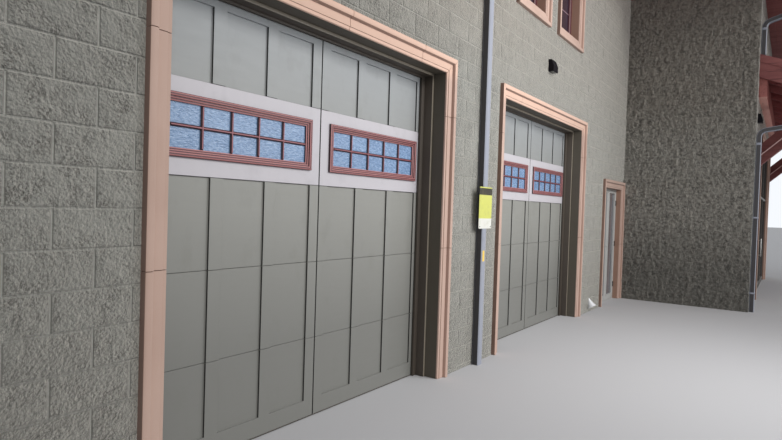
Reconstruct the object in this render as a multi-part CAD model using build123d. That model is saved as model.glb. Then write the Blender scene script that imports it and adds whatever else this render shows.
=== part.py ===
"""Office warehouse: a two-storey block building with two overhead doors, a projecting wing,
a level-eaved hip roof and a timber canopy along the wing's front.

Millimetres. While it is drawn, x runs along the front from the left-hand corner, y runs into the
building from the main front face, and z is the height above the paving. save() then moves every
piece so that the origin is the centre of the ground footprint and the front faces -Y.
"""
import os
from math import radians, tan
from build123d import *

# block walls: running bond, the first bed joint a little above the paving
course = 203.2
block_length = 406.4
first_joint = 40.0
wall_thickness = 254.0
main_depth = 25 * block_length
wing_start = 12460.0
wing_width = 20 * block_length
wing_projection = 2265.0
soffit_courses = 30

# stone surrounds of every door and window
surround_width = 150.0
surround_projection = 57.0
surround_fascia = 24.0
surround_bead = 50.0
stone_joint = 3.0

# overhead doors
overhead_width = 7.5 * block_length
overhead_first = 5 * block_length
overhead_spacing = 11 * block_length
overhead_courses = 15
door_lap = 50.0
door_setback = 260.0
section_thickness = 45.0
section_gap = 3.0
section_height = 617.5
first_seam = 645.0
bottom_rail = 142.0
top_rail_start = 2998.0
panel_recess = 16.0
centre_groove_width = 10.0
centre_groove_depth = 6.0
stile_width = 105.0
panel_pitch = 469.5
panels_per_leaf = 3
lining_start = 135.0
lining_thickness = 25.0
side_stop = 76.0
head_stop = 42.0
track_width = 60.0
track_depth = 70.0
track_wall = 4.0

# window units in the overhead doors
unit_inset = 108.0
unit_length = 1297.0
unit_sill = 1994.0
unit_height = 399.0
unit_border = 56.0
unit_proud = 8.0
unit_depth = 40.0
glass_thickness = 6.0

# service door and entrance door
walk_door_width = 1219.0
walk_door_height = 2235.0
walk_frame_depth = 110.0
service_frame_width = 30.0
service_frame_setback = 90.0
service_stile = 80.0
service_top_rail = 50.0
service_bottom_rail = 100.0
entrance_frame_width = 50.0
entrance_frame_setback = 20.0
entrance_stile = 130.0
entrance_top_rail = 130.0
entrance_bottom_rail = 260.0
frame_joint = 0.3
leaf_thickness = 45.0
leaf_gap = 5.0
threshold_height = 15.0
hinge_low = 300.0
hinge_top_inset = 275.0
hinge_radius = 8.0
hinge_plate = 6.0
knuckle_length = 34.0
knuckle_gap = 0.3
entrance_offset = 2534.0
pull_length = 420.0
pull_radius = 12.0
pull_standoff = 60.0
pull_height = 1050.0

# upper windows, set in pairs
window_width = 840.0
window_height = 1230.0
window_sill = 4457.0
window_spacing = 1475.0
window_setback = 120.0
sash_width = 60.0
sash_depth = 70.0

# glazed screen in the wing's front, with the entrance door in it
screen_offset = 2184.0
screen_width = 12 * block_length
screen_courses = 17
screen_bar = 50.0
screen_sill = 120.0

# floors
ground_floor_top = 25.0
upper_floor_top = 3660.0
upper_floor_depth = 200.0

# roof
eave_overhang = 850.0
roof_angle = 22.62
roof_depth = 180.0
soffit_thickness = 20.0
fascia_thickness = 25.0
fascia_drop = 20.0
gutter_width = 125.0
gutter_height = 120.0
gutter_wall = 4.0
gutter_joint = 2.0

# timber canopy on the wing's front
canopy_top = 4800.0
canopy_projection = 2050.0
canopy_inset = 170.0
canopy_gutter_inset = 50.0
canopy_deck = 60.0
barge_depth = 430.0
barge_width = 70.0
canopy_soffit_drop = 380.0
ledger_width = 150.0
ledger_bottom = 4000.0
edge_board = 60.0
rafter_width = 70.0
rafter_depth = 200.0
rafter_bays = 7
brace_positions = (1650.0, 7700.0)
brace_width = 200.0
brace_ledge = 30.0
brace_foot = 2800.0
brace_height = 440.0
brace_angle = 43.0
cut_margin = 100.0

# downspouts
spout_width = 100.0
spout_depth = 80.0
spout_standoff = 25.0
spout_bend_radius = 120.0
spout_drop = 130.0
main_spout_x = 5860.0
wing_spout_offset = 110.0
upper_spout_x = 300.0
upper_elbow_height = 5390.0
upper_outlet_height = 5650.0
elbow_height = 3350.0
offset_height = 5300.0

# small fittings
light_width = 180.0
light_height = 170.0
light_reach = 95.0
light_hood_reach = 60.0
light_hood_drop = 85.0
door_light_height = 3700.0
door_light_offset = -72.0
canopy_light_height = 3540.0
canopy_light_offset = 420.0
plate_width = 310.0
plate_height = 460.0
plate_thickness = 3.0
plate_bottom = 1520.0
nozzle_x = 10270.0
nozzle_bottom = 40.0
nozzle_top = 237.0
nozzle_half_width = 75.0
nozzle_lip_reach = 150.0
nozzle_lip_height = 130.0
nozzle_tip_radius = 14.0
nozzle_wall = 4.0

# worked out from the sizes above
roof_pitch = tan(radians(roof_angle))
main_length = wing_start + wing_width
soffit_z = first_joint + soffit_courses * course
overhead_head = first_joint + overhead_courses * course
eave_z = soffit_z + soffit_thickness
wall_top = eave_z + roof_pitch * eave_overhang
wing_front = -wing_projection
overhead_starts = (overhead_first, overhead_first + overhead_spacing)
overhead_centres = tuple(x + overhead_width / 2 for x in overhead_starts)
service_right = wing_start - surround_width
service_left = service_right - walk_door_width
entrance_left = wing_start + entrance_offset
entrance_right = entrance_left + walk_door_width
screen_left = wing_start + screen_offset
screen_right = screen_left + screen_width
screen_head = first_joint + screen_courses * course
eave_reach = eave_overhang + fascia_thickness + gutter_width
canopy_reach = canopy_projection + edge_board + gutter_width
canopy_gutter_low = canopy_top - roof_pitch * (canopy_projection + edge_board) - fascia_drop - gutter_height
origin_x = main_length / 2
origin_y = (main_depth + eave_reach + wing_front - canopy_reach) / 2


def box(x0, x1, y0, y1, z0, z1):
    """A box from its two corners."""
    return Pos((x0 + x1) / 2, (y0 + y1) / 2, (z0 + z1) / 2) * Box(abs(x1 - x0), abs(y1 - y0), abs(z1 - z0))


def prism(points, direction):
    """A solid swept along a direction from a flat outline given as points."""
    face = Face(Wire.make_polygon([Vector(*p) for p in points], close=True))
    return Solid.extrude(face, Vector(*direction))


def save(name, *solids):
    """Write one node as a STEP file in the finished frame."""
    placed = [Pos(-origin_x, -origin_y, 0) * s for item in solids for s in item.solids()]
    shape = placed[0] if len(placed) == 1 else Compound(children=placed)
    export_step(shape, f"parts/{name}.step")


def turned(shape, side):
    """Carry a piece drawn on the main front face (x along it) to another side of the building."""
    if side == "front":
        return shape
    if side == "wing":
        return Pos(0, wing_front, 0) * shape
    if side == "back":
        return Pos(main_length, main_depth, 0) * Rot(0, 0, 180) * shape
    if side == "right":
        return Pos(main_length, wing_front, 0) * Rot(0, 0, 90) * shape
    return Pos(0, main_depth, 0) * Rot(0, 0, -90) * shape


def pair_starts(centre):
    """The left-hand edges of the two window openings of a pair."""
    return [centre - window_spacing / 2 - window_width / 2, centre + window_spacing / 2 - window_width / 2]


right_length = main_depth + wing_projection
window_pairs = {
    "front": overhead_centres,
    "right": (right_length * 0.2, right_length * 0.5, right_length * 0.8),
    "back": tuple(main_length * (i + 0.5) / 4 for i in range(4)),
    "left": (main_depth * 0.25, main_depth * 0.75),
}


def window_holes(side):
    """The boxes that cut the upper windows of one side through its wall."""
    top = window_sill + window_height
    return [
        turned(box(x, x + window_width, -1, wall_thickness + 1, window_sill, top), side)
        for centre in window_pairs[side]
        for x in pair_starts(centre)
    ]


def walls():
    """The block walls: piers beside the doorways, with the storeys above as whole walls."""
    t = wall_thickness
    d1, d2 = overhead_starts
    edges = [0, d1, d1 + overhead_width, d2, d2 + overhead_width, service_left, service_right, wing_start]
    piers = [box(edges[i], edges[i + 1], 0, t, 0, overhead_head) for i in range(0, 8, 2)]
    save("front_wall_piers", *piers)
    save("wall_over_service_door", box(service_left, service_right, 0, t, walk_door_height, overhead_head))
    upper = box(0, wing_start, 0, t, overhead_head, wall_top)
    for hole in window_holes("front"):
        upper -= hole
    save("front_wall_upper", upper)
    save("wing_side_wall", box(wing_start, wing_start + t, wing_front + t, t, 0, wall_top))
    edges = [wing_start, screen_left, screen_right, main_length]
    piers = [box(edges[i], edges[i + 1], wing_front, wing_front + t, 0, screen_head) for i in (0, 2)]
    save("wing_front_piers", *piers)
    save("wing_front_upper", box(wing_start, main_length, wing_front, wing_front + t, screen_head, wall_top))
    right = box(main_length - t, main_length, wing_front + t, main_depth - t, 0, wall_top)
    for hole in window_holes("right"):
        right -= hole
    save("right_wall", right)
    back = box(0, main_length, main_depth - t, main_depth, 0, wall_top)
    for hole in window_holes("back"):
        back -= hole
    save("back_wall", back)
    left = box(0, t, t, main_depth - t, 0, wall_top)
    for hole in window_holes("left"):
        left -= hole
    save("left_wall", left)


def floor_plate(low, high):
    """A floor inside the walls, over the main block and the wing."""
    t = wall_thickness
    main = box(t, main_length - t, t, main_depth - t, low, high)
    return main + box(wing_start + t, main_length - t, wing_front + t, t, low, high)


def ground_floor():
    """The slab on the ground, stopped behind the overhead doors and their tracks."""
    slab = floor_plate(0, ground_floor_top)
    reach = door_lap + track_width
    back = wall_thickness + track_depth
    for x in overhead_starts:
        slab -= box(x - reach, x + overhead_width + reach, wall_thickness - 1, back, -1, ground_floor_top + 1)
    return slab


def roof():
    """The two hips as sloping slabs that meet on the ridges, hips and the valley."""
    o = eave_overhang
    half_wing = wing_width / 2 + o
    ridge_y = main_depth / 2
    ridge_x = wing_start + wing_width / 2
    left_end = (ridge_y, ridge_y)
    right_end = (main_length - ridge_y, ridge_y)
    wing_ridge_back = (ridge_x, half_wing - o)
    wing_ridge_front = (ridge_x, wing_front - o + half_wing)
    plans = {
        "roof_front": [(-o, -o), (wing_start - o, -o), wing_ridge_back, right_end, left_end],
        "roof_back": [(main_length + o, main_depth + o), (-o, main_depth + o), left_end, right_end],
        "roof_left": [(-o, main_depth + o), (-o, -o), left_end],
        "roof_right": [
            (main_length + o, wing_front - o),
            (main_length + o, main_depth + o),
            right_end,
            wing_ridge_back,
            wing_ridge_front,
        ],
        "wing_roof_front": [(wing_start - o, wing_front - o), (main_length + o, wing_front - o), wing_ridge_front],
        "wing_roof_left": [
            (wing_start - o, -o),
            (wing_start - o, wing_front - o),
            wing_ridge_front,
            wing_ridge_back,
        ],
    }
    rise = {
        "roof_front": lambda x, y: y + o,
        "roof_back": lambda x, y: main_depth + o - y,
        "roof_left": lambda x, y: x + o,
        "roof_right": lambda x, y: main_length + o - x,
        "wing_roof_front": lambda x, y: y - wing_front + o,
        "wing_roof_left": lambda x, y: x - wing_start + o,
    }
    for name, plan in plans.items():
        outline = [(x, y, eave_z + roof_pitch * rise[name](x, y)) for x, y in plan]
        save(name, prism(outline, (0, 0, roof_depth)))


def eave_outline(reach):
    """The plan of the building grown outwards by reach, as a closed outline."""
    return [
        (-reach, -reach),
        (wing_start - reach, -reach),
        (wing_start - reach, wing_front - reach),
        (main_length + reach, wing_front - reach),
        (main_length + reach, main_depth + reach),
        (-reach, main_depth + reach),
    ]


def plate(reach, low, high):
    """A level plate over the plan grown outwards by reach."""
    return prism([(x, y, low) for x, y in eave_outline(reach)], (0, 0, high - low))


def eaves():
    """The soffit boarding, the fascia and the gutters round the roof."""
    o = eave_overhang
    save("soffit", plate(o, soffit_z, eave_z) - plate(0, soffit_z - 1, eave_z + 1))
    fascia_out = o + fascia_thickness
    roof_edge = eave_z + roof_depth
    bottom = soffit_z - fascia_drop
    save("fascia", plate(fascia_out, bottom, roof_edge) - plate(o, bottom - 1, roof_edge + 1))
    out = fascia_out + gutter_width
    top = roof_edge - fascia_drop
    low = top - gutter_height
    w = gutter_wall
    ring = plate(out, low, top) - plate(fascia_out, low - 1, top + 1)
    ring -= plate(out - w, low + w, top + 1) - plate(fascia_out + w, low, top + 2)
    corners = list(zip(eave_outline(fascia_out), eave_outline(out)))
    for (x0, y0), (x1, y1) in corners:
        run = ((x1 - x0) ** 2 + (y1 - y0) ** 2) ** 0.5
        cut = Box(run + 40, gutter_joint, gutter_height + 20)
        angle = 45 if (x1 - x0) * (y1 - y0) > 0 else -45
        ring -= Pos((x0 + x1) / 2, (y0 + y1) / 2, (low + top) / 2) * Rot(0, 0, angle) * cut
    return ring


def canopy_line(depth, y):
    """The height of a canopy surface, depth below its top, y out from the wing's front."""
    return canopy_top - depth - roof_pitch * y


def canopy_slab(x0, x1, y0, y1, top_drop, bottom_drop):
    """A sloping slab of the canopy, between two drops below its top face."""
    outline = [
        (x0, wing_front - y0, canopy_line(top_drop, y0)),
        (x0, wing_front - y1, canopy_line(top_drop, y1)),
        (x0, wing_front - y1, canopy_line(bottom_drop, y1)),
        (x0, wing_front - y0, canopy_line(bottom_drop, y0)),
    ]
    return prism(outline, (x1 - x0, 0, 0))


def canopy():
    """The lean-to canopy: deck, boarding, rafters, barge boards, edge board, ledger and raking braces."""
    x0 = wing_start + canopy_inset
    x1 = main_length - canopy_inset
    p = canopy_projection
    drop = canopy_soffit_drop
    inner = (x0 + barge_width, x1 - barge_width)
    save("canopy_roof", canopy_slab(*inner, 0, p, 0, canopy_deck))
    boarding = drop - rafter_depth
    save("canopy_soffit", canopy_slab(*inner, 0, p, boarding - soffit_thickness, boarding))
    first, last = brace_positions
    rafters = [wing_start + first + i * (last - first) / rafter_bays for i in range(-1, rafter_bays + 1)]
    half = rafter_width / 2
    save("canopy_rafters", *[canopy_slab(x - half, x + half, 0, p, boarding, drop) for x in rafters])
    save(
        "canopy_barge_boards",
        canopy_slab(x0, inner[0], 0, p, 0, barge_depth),
        canopy_slab(inner[1], x1, 0, p, 0, barge_depth),
    )
    save("canopy_edge_board", canopy_slab(x0, x1, p, p + edge_board, 0, barge_depth))
    ledger_top = canopy_line(drop, ledger_width)
    save("canopy_ledger", box(*inner, wing_front - ledger_width, wing_front, ledger_bottom, ledger_top))
    braces = [brace(wing_start + x) for x in brace_positions]
    save("canopy_braces", *braces)
    low = canopy_gutter_low
    x0 = wing_start + canopy_gutter_inset
    gutter = box(x0, x1, wing_front - canopy_reach, wing_front - p - edge_board, low, low + gutter_height)
    w = gutter_wall
    hollow = box(
        x0 + w,
        x1 - w,
        wing_front - canopy_reach + w,
        wing_front - p - edge_board - w,
        low + w,
        low + gutter_height + 1,
    )
    return gutter - hollow


def brace(centre):
    """Two raking timbers, one on the other, from the wall up to a rafter of the canopy."""
    slope = tan(radians(brace_angle))
    reach = canopy_projection
    half = brace_height / 2

    def rake(width, low, high):
        x0 = centre - width / 2
        outline = [
            (x0, wing_front, low),
            (x0, wing_front - reach, low + slope * reach),
            (x0, wing_front - reach, high + slope * reach),
            (x0, wing_front, high),
        ]
        return prism(outline, (width, 0, 0))

    timber = rake(brace_width, brace_foot + half, brace_foot + brace_height)
    timber += rake(brace_width + 2 * brace_ledge, brace_foot, brace_foot + half)
    m = cut_margin
    width = brace_width + 2 * brace_ledge + 2 * m
    x0 = centre - width / 2
    high = prism(
        [
            (x0, wing_front + m, canopy_line(canopy_soffit_drop, -m)),
            (x0, wing_front - reach - m, canopy_line(canopy_soffit_drop, reach + m)),
            (x0, wing_front - reach - m, brace_foot + brace_height + slope * reach + m),
            (x0, wing_front + m, brace_foot + brace_height + slope * reach + m),
        ],
        (width, 0, 0),
    )
    return timber - high


def surround(x0, x1, z0, z1, with_sill):
    """A stone surround on the wall face at y = 0, mitred at its corners."""
    w = surround_width
    sides = ["left", "head", "right"] + (["sill"] if with_sill else [])
    middle_x = (x0 + x1) / 2
    middle_z = (z0 + z1) / 2
    whole = box(x0 - w, x1 + w, -surround_fascia, 0, z0 - (w if with_sill else 0), z1 + w)
    inner = w - surround_bead
    bead = box(x0 - w, x1 + w, -surround_projection, 0, z0 - (w if with_sill else 0), z1 + w)
    bead -= box(
        x0 - inner,
        x1 + inner,
        -surround_projection - 1,
        1,
        z0 - (inner if with_sill else 1),
        z1 + inner,
    )
    whole += bead
    whole -= box(x0, x1, -surround_projection - 1, 1, z0 - (0 if with_sill else 1), z1)
    reach = w * 2
    corners = [(x0, z1, 1), (x1, z1, -1)]
    if with_sill:
        corners += [(x0, z0, -1), (x1, z0, 1)]
    for x, z, sign in corners:
        cut = Box(stone_joint, surround_projection * 3, reach * 2)
        out_x = -1 if x == x0 else 1
        out_z = 1 if z == z1 else -1
        centre = Pos(x + out_x * w / 2, 0, z + out_z * w / 2)
        limit = box(
            min(x, x + out_x * w) - 1,
            max(x, x + out_x * w) + 1,
            -surround_projection - 1,
            1,
            min(z, z + out_z * w) - 1,
            max(z, z + out_z * w) + 1,
        )
        whole -= (centre * Rot(0, -45 * sign, 0) * cut) & limit
    return whole


def overhead_door(number, x0):
    """One overhead door: sections, window section, units, glass, steel frame and surround."""
    x1 = x0 + overhead_width
    centre = x0 + overhead_width / 2
    y0 = door_setback
    y1 = y0 + section_thickness
    left, right = x0 - door_lap, x1 + door_lap
    top = overhead_head + door_lap
    seams = [first_seam + i * section_height for i in range(4)]
    lows = [0] + seams
    highs = [z - section_gap for z in seams] + [top]
    recesses = []
    for side in (-1, 1):
        for i in range(panels_per_leaf):
            a = centre + side * (stile_width + i * panel_pitch)
            b = a + side * (panel_pitch - stile_width)
            recesses.append((min(a, b), max(a, b)))
    half_groove = centre_groove_width / 2
    centre_groove = box(centre - half_groove, centre + half_groove, y0 - 1, y0 + centre_groove_depth, -1, top + 1)
    sections = []
    for i, (low, high) in enumerate(zip(lows, highs)):
        section = box(left, right, y0, y1, low, high)
        if i == 3:
            window_section = section - centre_groove
            continue
        recess_low = bottom_rail if i == 0 else low - 1
        recess_high = top_rail_start if i == 4 else high + 1
        for a, b in recesses:
            section -= box(a, b, y0 - 1, y0 + panel_recess, recess_low, recess_high)
        sections.append(section - centre_groove)
    save(f"overhead_door_{number}_sections", *sections)

    frames = []
    panes = []
    unit_top = unit_sill + unit_height
    for side in (-1, 1):
        a = centre + side * unit_inset
        b = centre + side * (unit_inset + unit_length)
        a, b = min(a, b), max(a, b)
        window_section -= box(a, b, y0 - 1, y1 + 1, unit_sill, unit_top)
        outer = box(a, b, y0 - unit_proud, y0 - unit_proud + unit_depth, unit_sill, unit_top)
        e = unit_border
        opening = (a + e, b - e, y0 - unit_proud - 1, y1 + 1, unit_sill + e, unit_top - e)
        frames.append(outer - box(*opening))
        glass_y = y0 - unit_proud + unit_depth / 2
        panes.append(box(a + e, b - e, glass_y, glass_y + glass_thickness, unit_sill + e, unit_top - e))
    save(f"overhead_door_{number}_window_section", window_section)
    save(f"overhead_door_{number}_window_frames", *frames)
    save(f"overhead_door_{number}_glass", *panes)

    t = lining_thickness
    stop_y = wall_thickness - t
    leg_top = overhead_head - t - frame_joint
    pieces = []
    for x, inward in ((x0, 1), (x1, -1)):
        leg = box(x, x + inward * t, lining_start, wall_thickness, 0, leg_top)
        leg += box(x, x + inward * side_stop, stop_y, wall_thickness, 0, leg_top)
        pieces.append(leg)
        edge = x - inward * door_lap
        back = edge - inward * track_width
        track = box(edge, back, wall_thickness, wall_thickness + track_depth, 0, top)
        inside = box(
            edge + inward,
            back + inward * track_wall,
            wall_thickness + track_depth - section_thickness / 2,
            wall_thickness + track_depth - track_wall,
            -1,
            top + 1,
        )
        pieces.append(track - inside)
    head = box(x0, x1, lining_start, wall_thickness, overhead_head - t, overhead_head)
    stop = (x0 + side_stop + frame_joint, x1 - side_stop - frame_joint)
    head += box(*stop, stop_y, wall_thickness, overhead_head - head_stop, overhead_head - t)
    pieces.append(head)
    save(f"overhead_door_{number}_frame", *pieces)
    save(f"overhead_door_{number}_surround", surround(x0, x1, 0, overhead_head, False))


def door_leaf(hinge_x, way, width, y0, z1, stile, top_rail, bottom_rail):
    """A glazed leaf up to z1, drawn from its hinge side towards way, and its glass."""
    z0 = threshold_height + leaf_gap

    def across(a, b, *rest):
        return box(min(hinge_x + way * a, hinge_x + way * b), max(hinge_x + way * a, hinge_x + way * b), *rest)

    edge = leaf_gap / 2
    leaf = across(edge, edge + width, y0, y0 + leaf_thickness, z0, z1)
    lite = (edge + stile, edge + width - stile)
    low, high = z0 + bottom_rail, z1 - top_rail
    leaf -= across(*lite, y0 - 1, y0 + leaf_thickness + 1, low, high)
    middle = y0 + (leaf_thickness - glass_thickness) / 2
    return leaf, across(*lite, middle, middle + glass_thickness, low, high)


def walk_door(name, x0, side, sizes, two_leaves, with_pull):
    """Glazed leaves that open outwards on hinges beside the frame."""
    f, y0, stile, top_rail, bottom_rail = sizes
    x1 = x0 + walk_door_width
    y1 = y0 + walk_frame_depth
    z1 = walk_door_height
    head = z1 - f
    leg_top = head - frame_joint
    clear = walk_door_width - 2 * f - 2 * leaf_gap
    leaves = [("_left", x0 + f + leaf_gap / 2, 1), ("_right", x1 - f - leaf_gap / 2, -1)]
    width = (clear - leaf_gap) / 2
    if not two_leaves:
        leaves = [("", x0 + f + leaf_gap / 2, 1)]
        width = clear
    legs = {1: box(x0, x0 + f, y0, y1, 0, leg_top), -1: box(x1 - f, x1, y0, y1, 0, leg_top)}
    k = knuckle_length
    knuckle = hinge_radius + 2 * leaf_gap
    pivot_y = y0 - hinge_radius
    hinge_high = z1 - hinge_top_inset
    for suffix, hinge_x, way in leaves:
        leaf, glass = door_leaf(hinge_x, way, width, y0, head - leaf_gap, stile, top_rail, bottom_rail)
        for height in (hinge_low, (hinge_low + hinge_high) / 2, hinge_high):
            legs[way] += Pos(hinge_x, pivot_y, height) * Cylinder(hinge_radius, k)
            legs[way] += box(hinge_x - way * knuckle, hinge_x, y0 - hinge_plate, y0, height - k / 2, height + k / 2)
            for turn in (-1, 1):
                z = height + turn * (k + knuckle_gap)
                leaf += Pos(hinge_x, pivot_y, z) * Cylinder(hinge_radius, k)
                leaf += box(hinge_x, hinge_x + way * knuckle, y0 - hinge_plate, y0, z - k / 2, z + k / 2)
        save(f"{name}{suffix}_leaf", turned(leaf, side))
        save(f"{name}{suffix}_glass", turned(glass, side))
    frame = [
        legs[1],
        legs[-1],
        box(x0, x1, y0, y1, head, z1),
        box(x0 + f + frame_joint, x1 - f - frame_joint, y0, y1, 0, threshold_height),
    ]
    save(f"{name}_frame", *[turned(piece, side) for piece in frame])
    if with_pull:
        pull_x = x1 - f - leaf_gap - stile / 2
        bar_y = y0 - pull_standoff
        pull = Pos(pull_x, bar_y, pull_height) * Cylinder(pull_radius, pull_length)
        for way in (-1, 1):
            z = pull_height + way * (pull_length / 2 - 3 * pull_radius)
            post = Pos(pull_x, (bar_y + y0) / 2, z) * Rot(90, 0, 0) * Cylinder(pull_radius * 0.8, pull_standoff)
            pull += post
        save(f"{name}_pull", turned(pull, side))


def entrance_screen():
    """The fixed glazing round the entrance door: a sidelight, two large lights and the lights above."""
    y0 = entrance_frame_setback
    y1 = y0 + walk_frame_depth
    b = screen_bar
    left, right = screen_left + b, screen_right - b
    middle = (entrance_right + screen_right) / 2
    sill, head = screen_sill, screen_head - b
    door_head = walk_door_height
    bays = [
        (left, entrance_left - b, sill, door_head),
        (entrance_right + b, middle - b / 2, sill, door_head),
        (middle + b / 2, right, sill, door_head),
        (left, entrance_right, door_head + b, head),
        (entrance_right + b, middle - b / 2, door_head + b, head),
        (middle + b / 2, right, door_head + b, head),
    ]
    frame = box(screen_left, screen_right, y0, y1, 0, screen_head)
    frame -= box(entrance_left, entrance_right, y0 - 1, y1 + 1, -1, door_head)
    panes = []
    y = (y0 + y1 - glass_thickness) / 2
    for x0, x1, z0, z1 in bays:
        frame -= box(x0, x1, y0 - 1, y1 + 1, z0, z1)
        panes.append(turned(box(x0, x1, y, y + glass_thickness, z0, z1), "wing"))
    save("entrance_screen_frame", turned(frame, "wing"))
    save("entrance_screen_glass", *panes)


def windows():
    """The pairs of upper windows of every side."""
    surrounds, frames, panes = [], [], []
    top = window_sill + window_height
    y0 = window_setback
    for side, centres in window_pairs.items():
        for centre in centres:
            for x in pair_starts(centre):
                right = x + window_width
                surrounds.append(turned(surround(x, right, window_sill, top, True), side))
                e = sash_width
                outer = box(x, right, y0, y0 + sash_depth, window_sill, top)
                inner = (x + e, right - e, window_sill + e, top - e)
                outer -= box(inner[0], inner[1], y0 - 1, y0 + sash_depth + 1, inner[2], inner[3])
                frames.append(turned(outer, side))
                y = y0 + sash_depth / 2
                pane = box(inner[0], inner[1], y, y + glass_thickness, inner[2], inner[3])
                panes.append(turned(pane, side))
    save("window_surrounds", *surrounds)
    save("window_frames", *frames)
    save("window_glass", *panes)


def downspout(x, face, points):
    """A square-section pipe in the plane x, through points given as (out from the face, height)."""
    path = [Vector(x, face - out, z) for out, z in points]
    line = Polyline(path) if len(path) == 2 else FilletPolyline(*path, radius=spout_bend_radius)
    start = Plane(origin=path[0], z_dir=path[1] - path[0], x_dir=(1, 0, 0))
    return sweep(start * Rectangle(spout_width, spout_depth), path=line)


def downspouts():
    """The pipe between the overhead doors and the two at the wing's corner."""
    centre = spout_standoff + spout_depth / 2
    gutter_centre = eave_overhang + fascia_thickness + gutter_width / 2
    gutter_low = eave_z + roof_depth - fascia_drop - gutter_height
    main = downspout(
        main_spout_x,
        0,
        [(centre, 0), (centre, offset_height), (gutter_centre, gutter_low - spout_drop), (gutter_centre, gutter_low)],
    )
    wing_x = wing_start + wing_spout_offset
    upper = downspout(
        wing_start + upper_spout_x,
        wing_front,
        [
            (centre, canopy_line(0, centre - spout_depth / 2)),
            (centre, upper_elbow_height),
            (gutter_centre, upper_outlet_height),
            (gutter_centre, gutter_low),
        ],
    )
    outlet = canopy_projection + edge_board + gutter_width / 2
    lower = downspout(
        wing_x,
        wing_front,
        [
            (centre, 0),
            (centre, elbow_height),
            (outlet, canopy_gutter_low - spout_drop),
            (outlet, canopy_gutter_low),
        ],
    )
    save("downspouts", main, upper, lower)


def nozzle():
    """The drain's hood: a hollow cone high on the wall that flares to a lip standing out from it."""
    reach, rise = nozzle_lip_reach, nozzle_lip_height - nozzle_bottom
    half_lip = (reach**2 + rise**2) ** 0.5 / 2
    centre = (nozzle_x, -reach / 2, nozzle_bottom + rise / 2)
    mouth = Plane(origin=centre, x_dir=(1, 0, 0), z_dir=(0, rise, reach))

    def cone(inset):
        low = mouth * Ellipse(nozzle_half_width - inset, half_lip - inset)
        tip = Pos(nozzle_x, -nozzle_tip_radius, nozzle_top - inset) * Circle(nozzle_tip_radius - inset)
        return loft([low, tip])

    return cone(0) - cone(nozzle_wall)


def fittings():
    """Wall lights, the notice plate on the pipe and the drain nozzle."""
    lights = []
    for x, face, z in (
        (overhead_centres[1] + door_light_offset, 0, door_light_height),
        (wing_start + canopy_light_offset, wing_front, canopy_light_height),
    ):
        x0 = x - light_width / 2
        outline = [
            (x0, face, z),
            (x0, face - light_reach, z),
            (x0, face - light_reach, z + light_height - light_hood_drop),
            (x0, face - light_hood_reach, z + light_height),
            (x0, face, z + light_height),
        ]
        lights.append(prism(outline, (light_width, 0, 0)))
    save("wall_lights", *lights)
    front = -(spout_standoff + spout_depth)
    save(
        "notice_plate",
        box(
            main_spout_x - plate_width / 2,
            main_spout_x + plate_width / 2,
            front - plate_thickness,
            front,
            plate_bottom,
            plate_bottom + plate_height,
        ),
    )
    save("drain_nozzle", nozzle())


os.makedirs("parts", exist_ok=True)
walls()
save("ground_floor", ground_floor())
save("upper_floor", floor_plate(upper_floor_top - upper_floor_depth, upper_floor_top))
roof()
roof_gutters = eaves()
canopy_gutter = canopy()
save("gutters", roof_gutters, canopy_gutter)
for number, start in enumerate(overhead_starts, 1):
    overhead_door(number, start)
service_sizes = (
    service_frame_width,
    service_frame_setback,
    service_stile,
    service_top_rail,
    service_bottom_rail,
)
entrance_sizes = (
    entrance_frame_width,
    entrance_frame_setback,
    entrance_stile,
    entrance_top_rail,
    entrance_bottom_rail,
)
walk_door("service_door", service_left, "front", service_sizes, True, False)
walk_door("entrance_door", entrance_left, "wing", entrance_sizes, False, True)
entrance_screen()
save("service_door_surround", surround(service_left, service_right, 0, walk_door_height, False))
save("entrance_door_surround", turned(surround(screen_left, screen_right, 0, screen_head, False), "wing"))
windows()
downspouts()
fittings()
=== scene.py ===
import bmesh
import bpy
from math import atan2, ceil, cos, pi, radians, sin, sqrt, tan
from mathutils import Matrix, Vector, noise


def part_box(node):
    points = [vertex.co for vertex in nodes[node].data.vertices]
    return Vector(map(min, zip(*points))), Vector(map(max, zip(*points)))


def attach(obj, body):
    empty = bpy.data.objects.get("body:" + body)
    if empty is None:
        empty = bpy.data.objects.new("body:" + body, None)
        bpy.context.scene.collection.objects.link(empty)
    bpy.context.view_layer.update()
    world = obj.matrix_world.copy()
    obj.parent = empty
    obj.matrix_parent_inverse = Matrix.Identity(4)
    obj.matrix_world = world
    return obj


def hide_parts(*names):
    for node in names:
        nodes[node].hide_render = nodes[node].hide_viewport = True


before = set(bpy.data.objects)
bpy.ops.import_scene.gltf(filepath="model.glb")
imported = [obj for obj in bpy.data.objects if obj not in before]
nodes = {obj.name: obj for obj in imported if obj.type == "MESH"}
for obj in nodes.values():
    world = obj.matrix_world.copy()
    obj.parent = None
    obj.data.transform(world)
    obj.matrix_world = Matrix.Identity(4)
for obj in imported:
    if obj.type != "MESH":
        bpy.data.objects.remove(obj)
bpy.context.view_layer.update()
print("frame loaded:", len(nodes), "nodes")

# the building's faces, read from the frame
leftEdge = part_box("left_wall")[0].x
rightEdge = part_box("right_wall")[1].x
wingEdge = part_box("wing_side_wall")[0].x
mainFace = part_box("front_wall_upper")[0].y
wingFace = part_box("wing_front_upper")[0].y
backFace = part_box("back_wall")[1].y
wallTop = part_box("left_wall")[1].z
mainLength = rightEdge - leftEdge
mainDepth = backFace - mainFace
wingStart = wingEdge - leftEdge
wingOut = mainFace - wingFace


# shader sums


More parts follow.
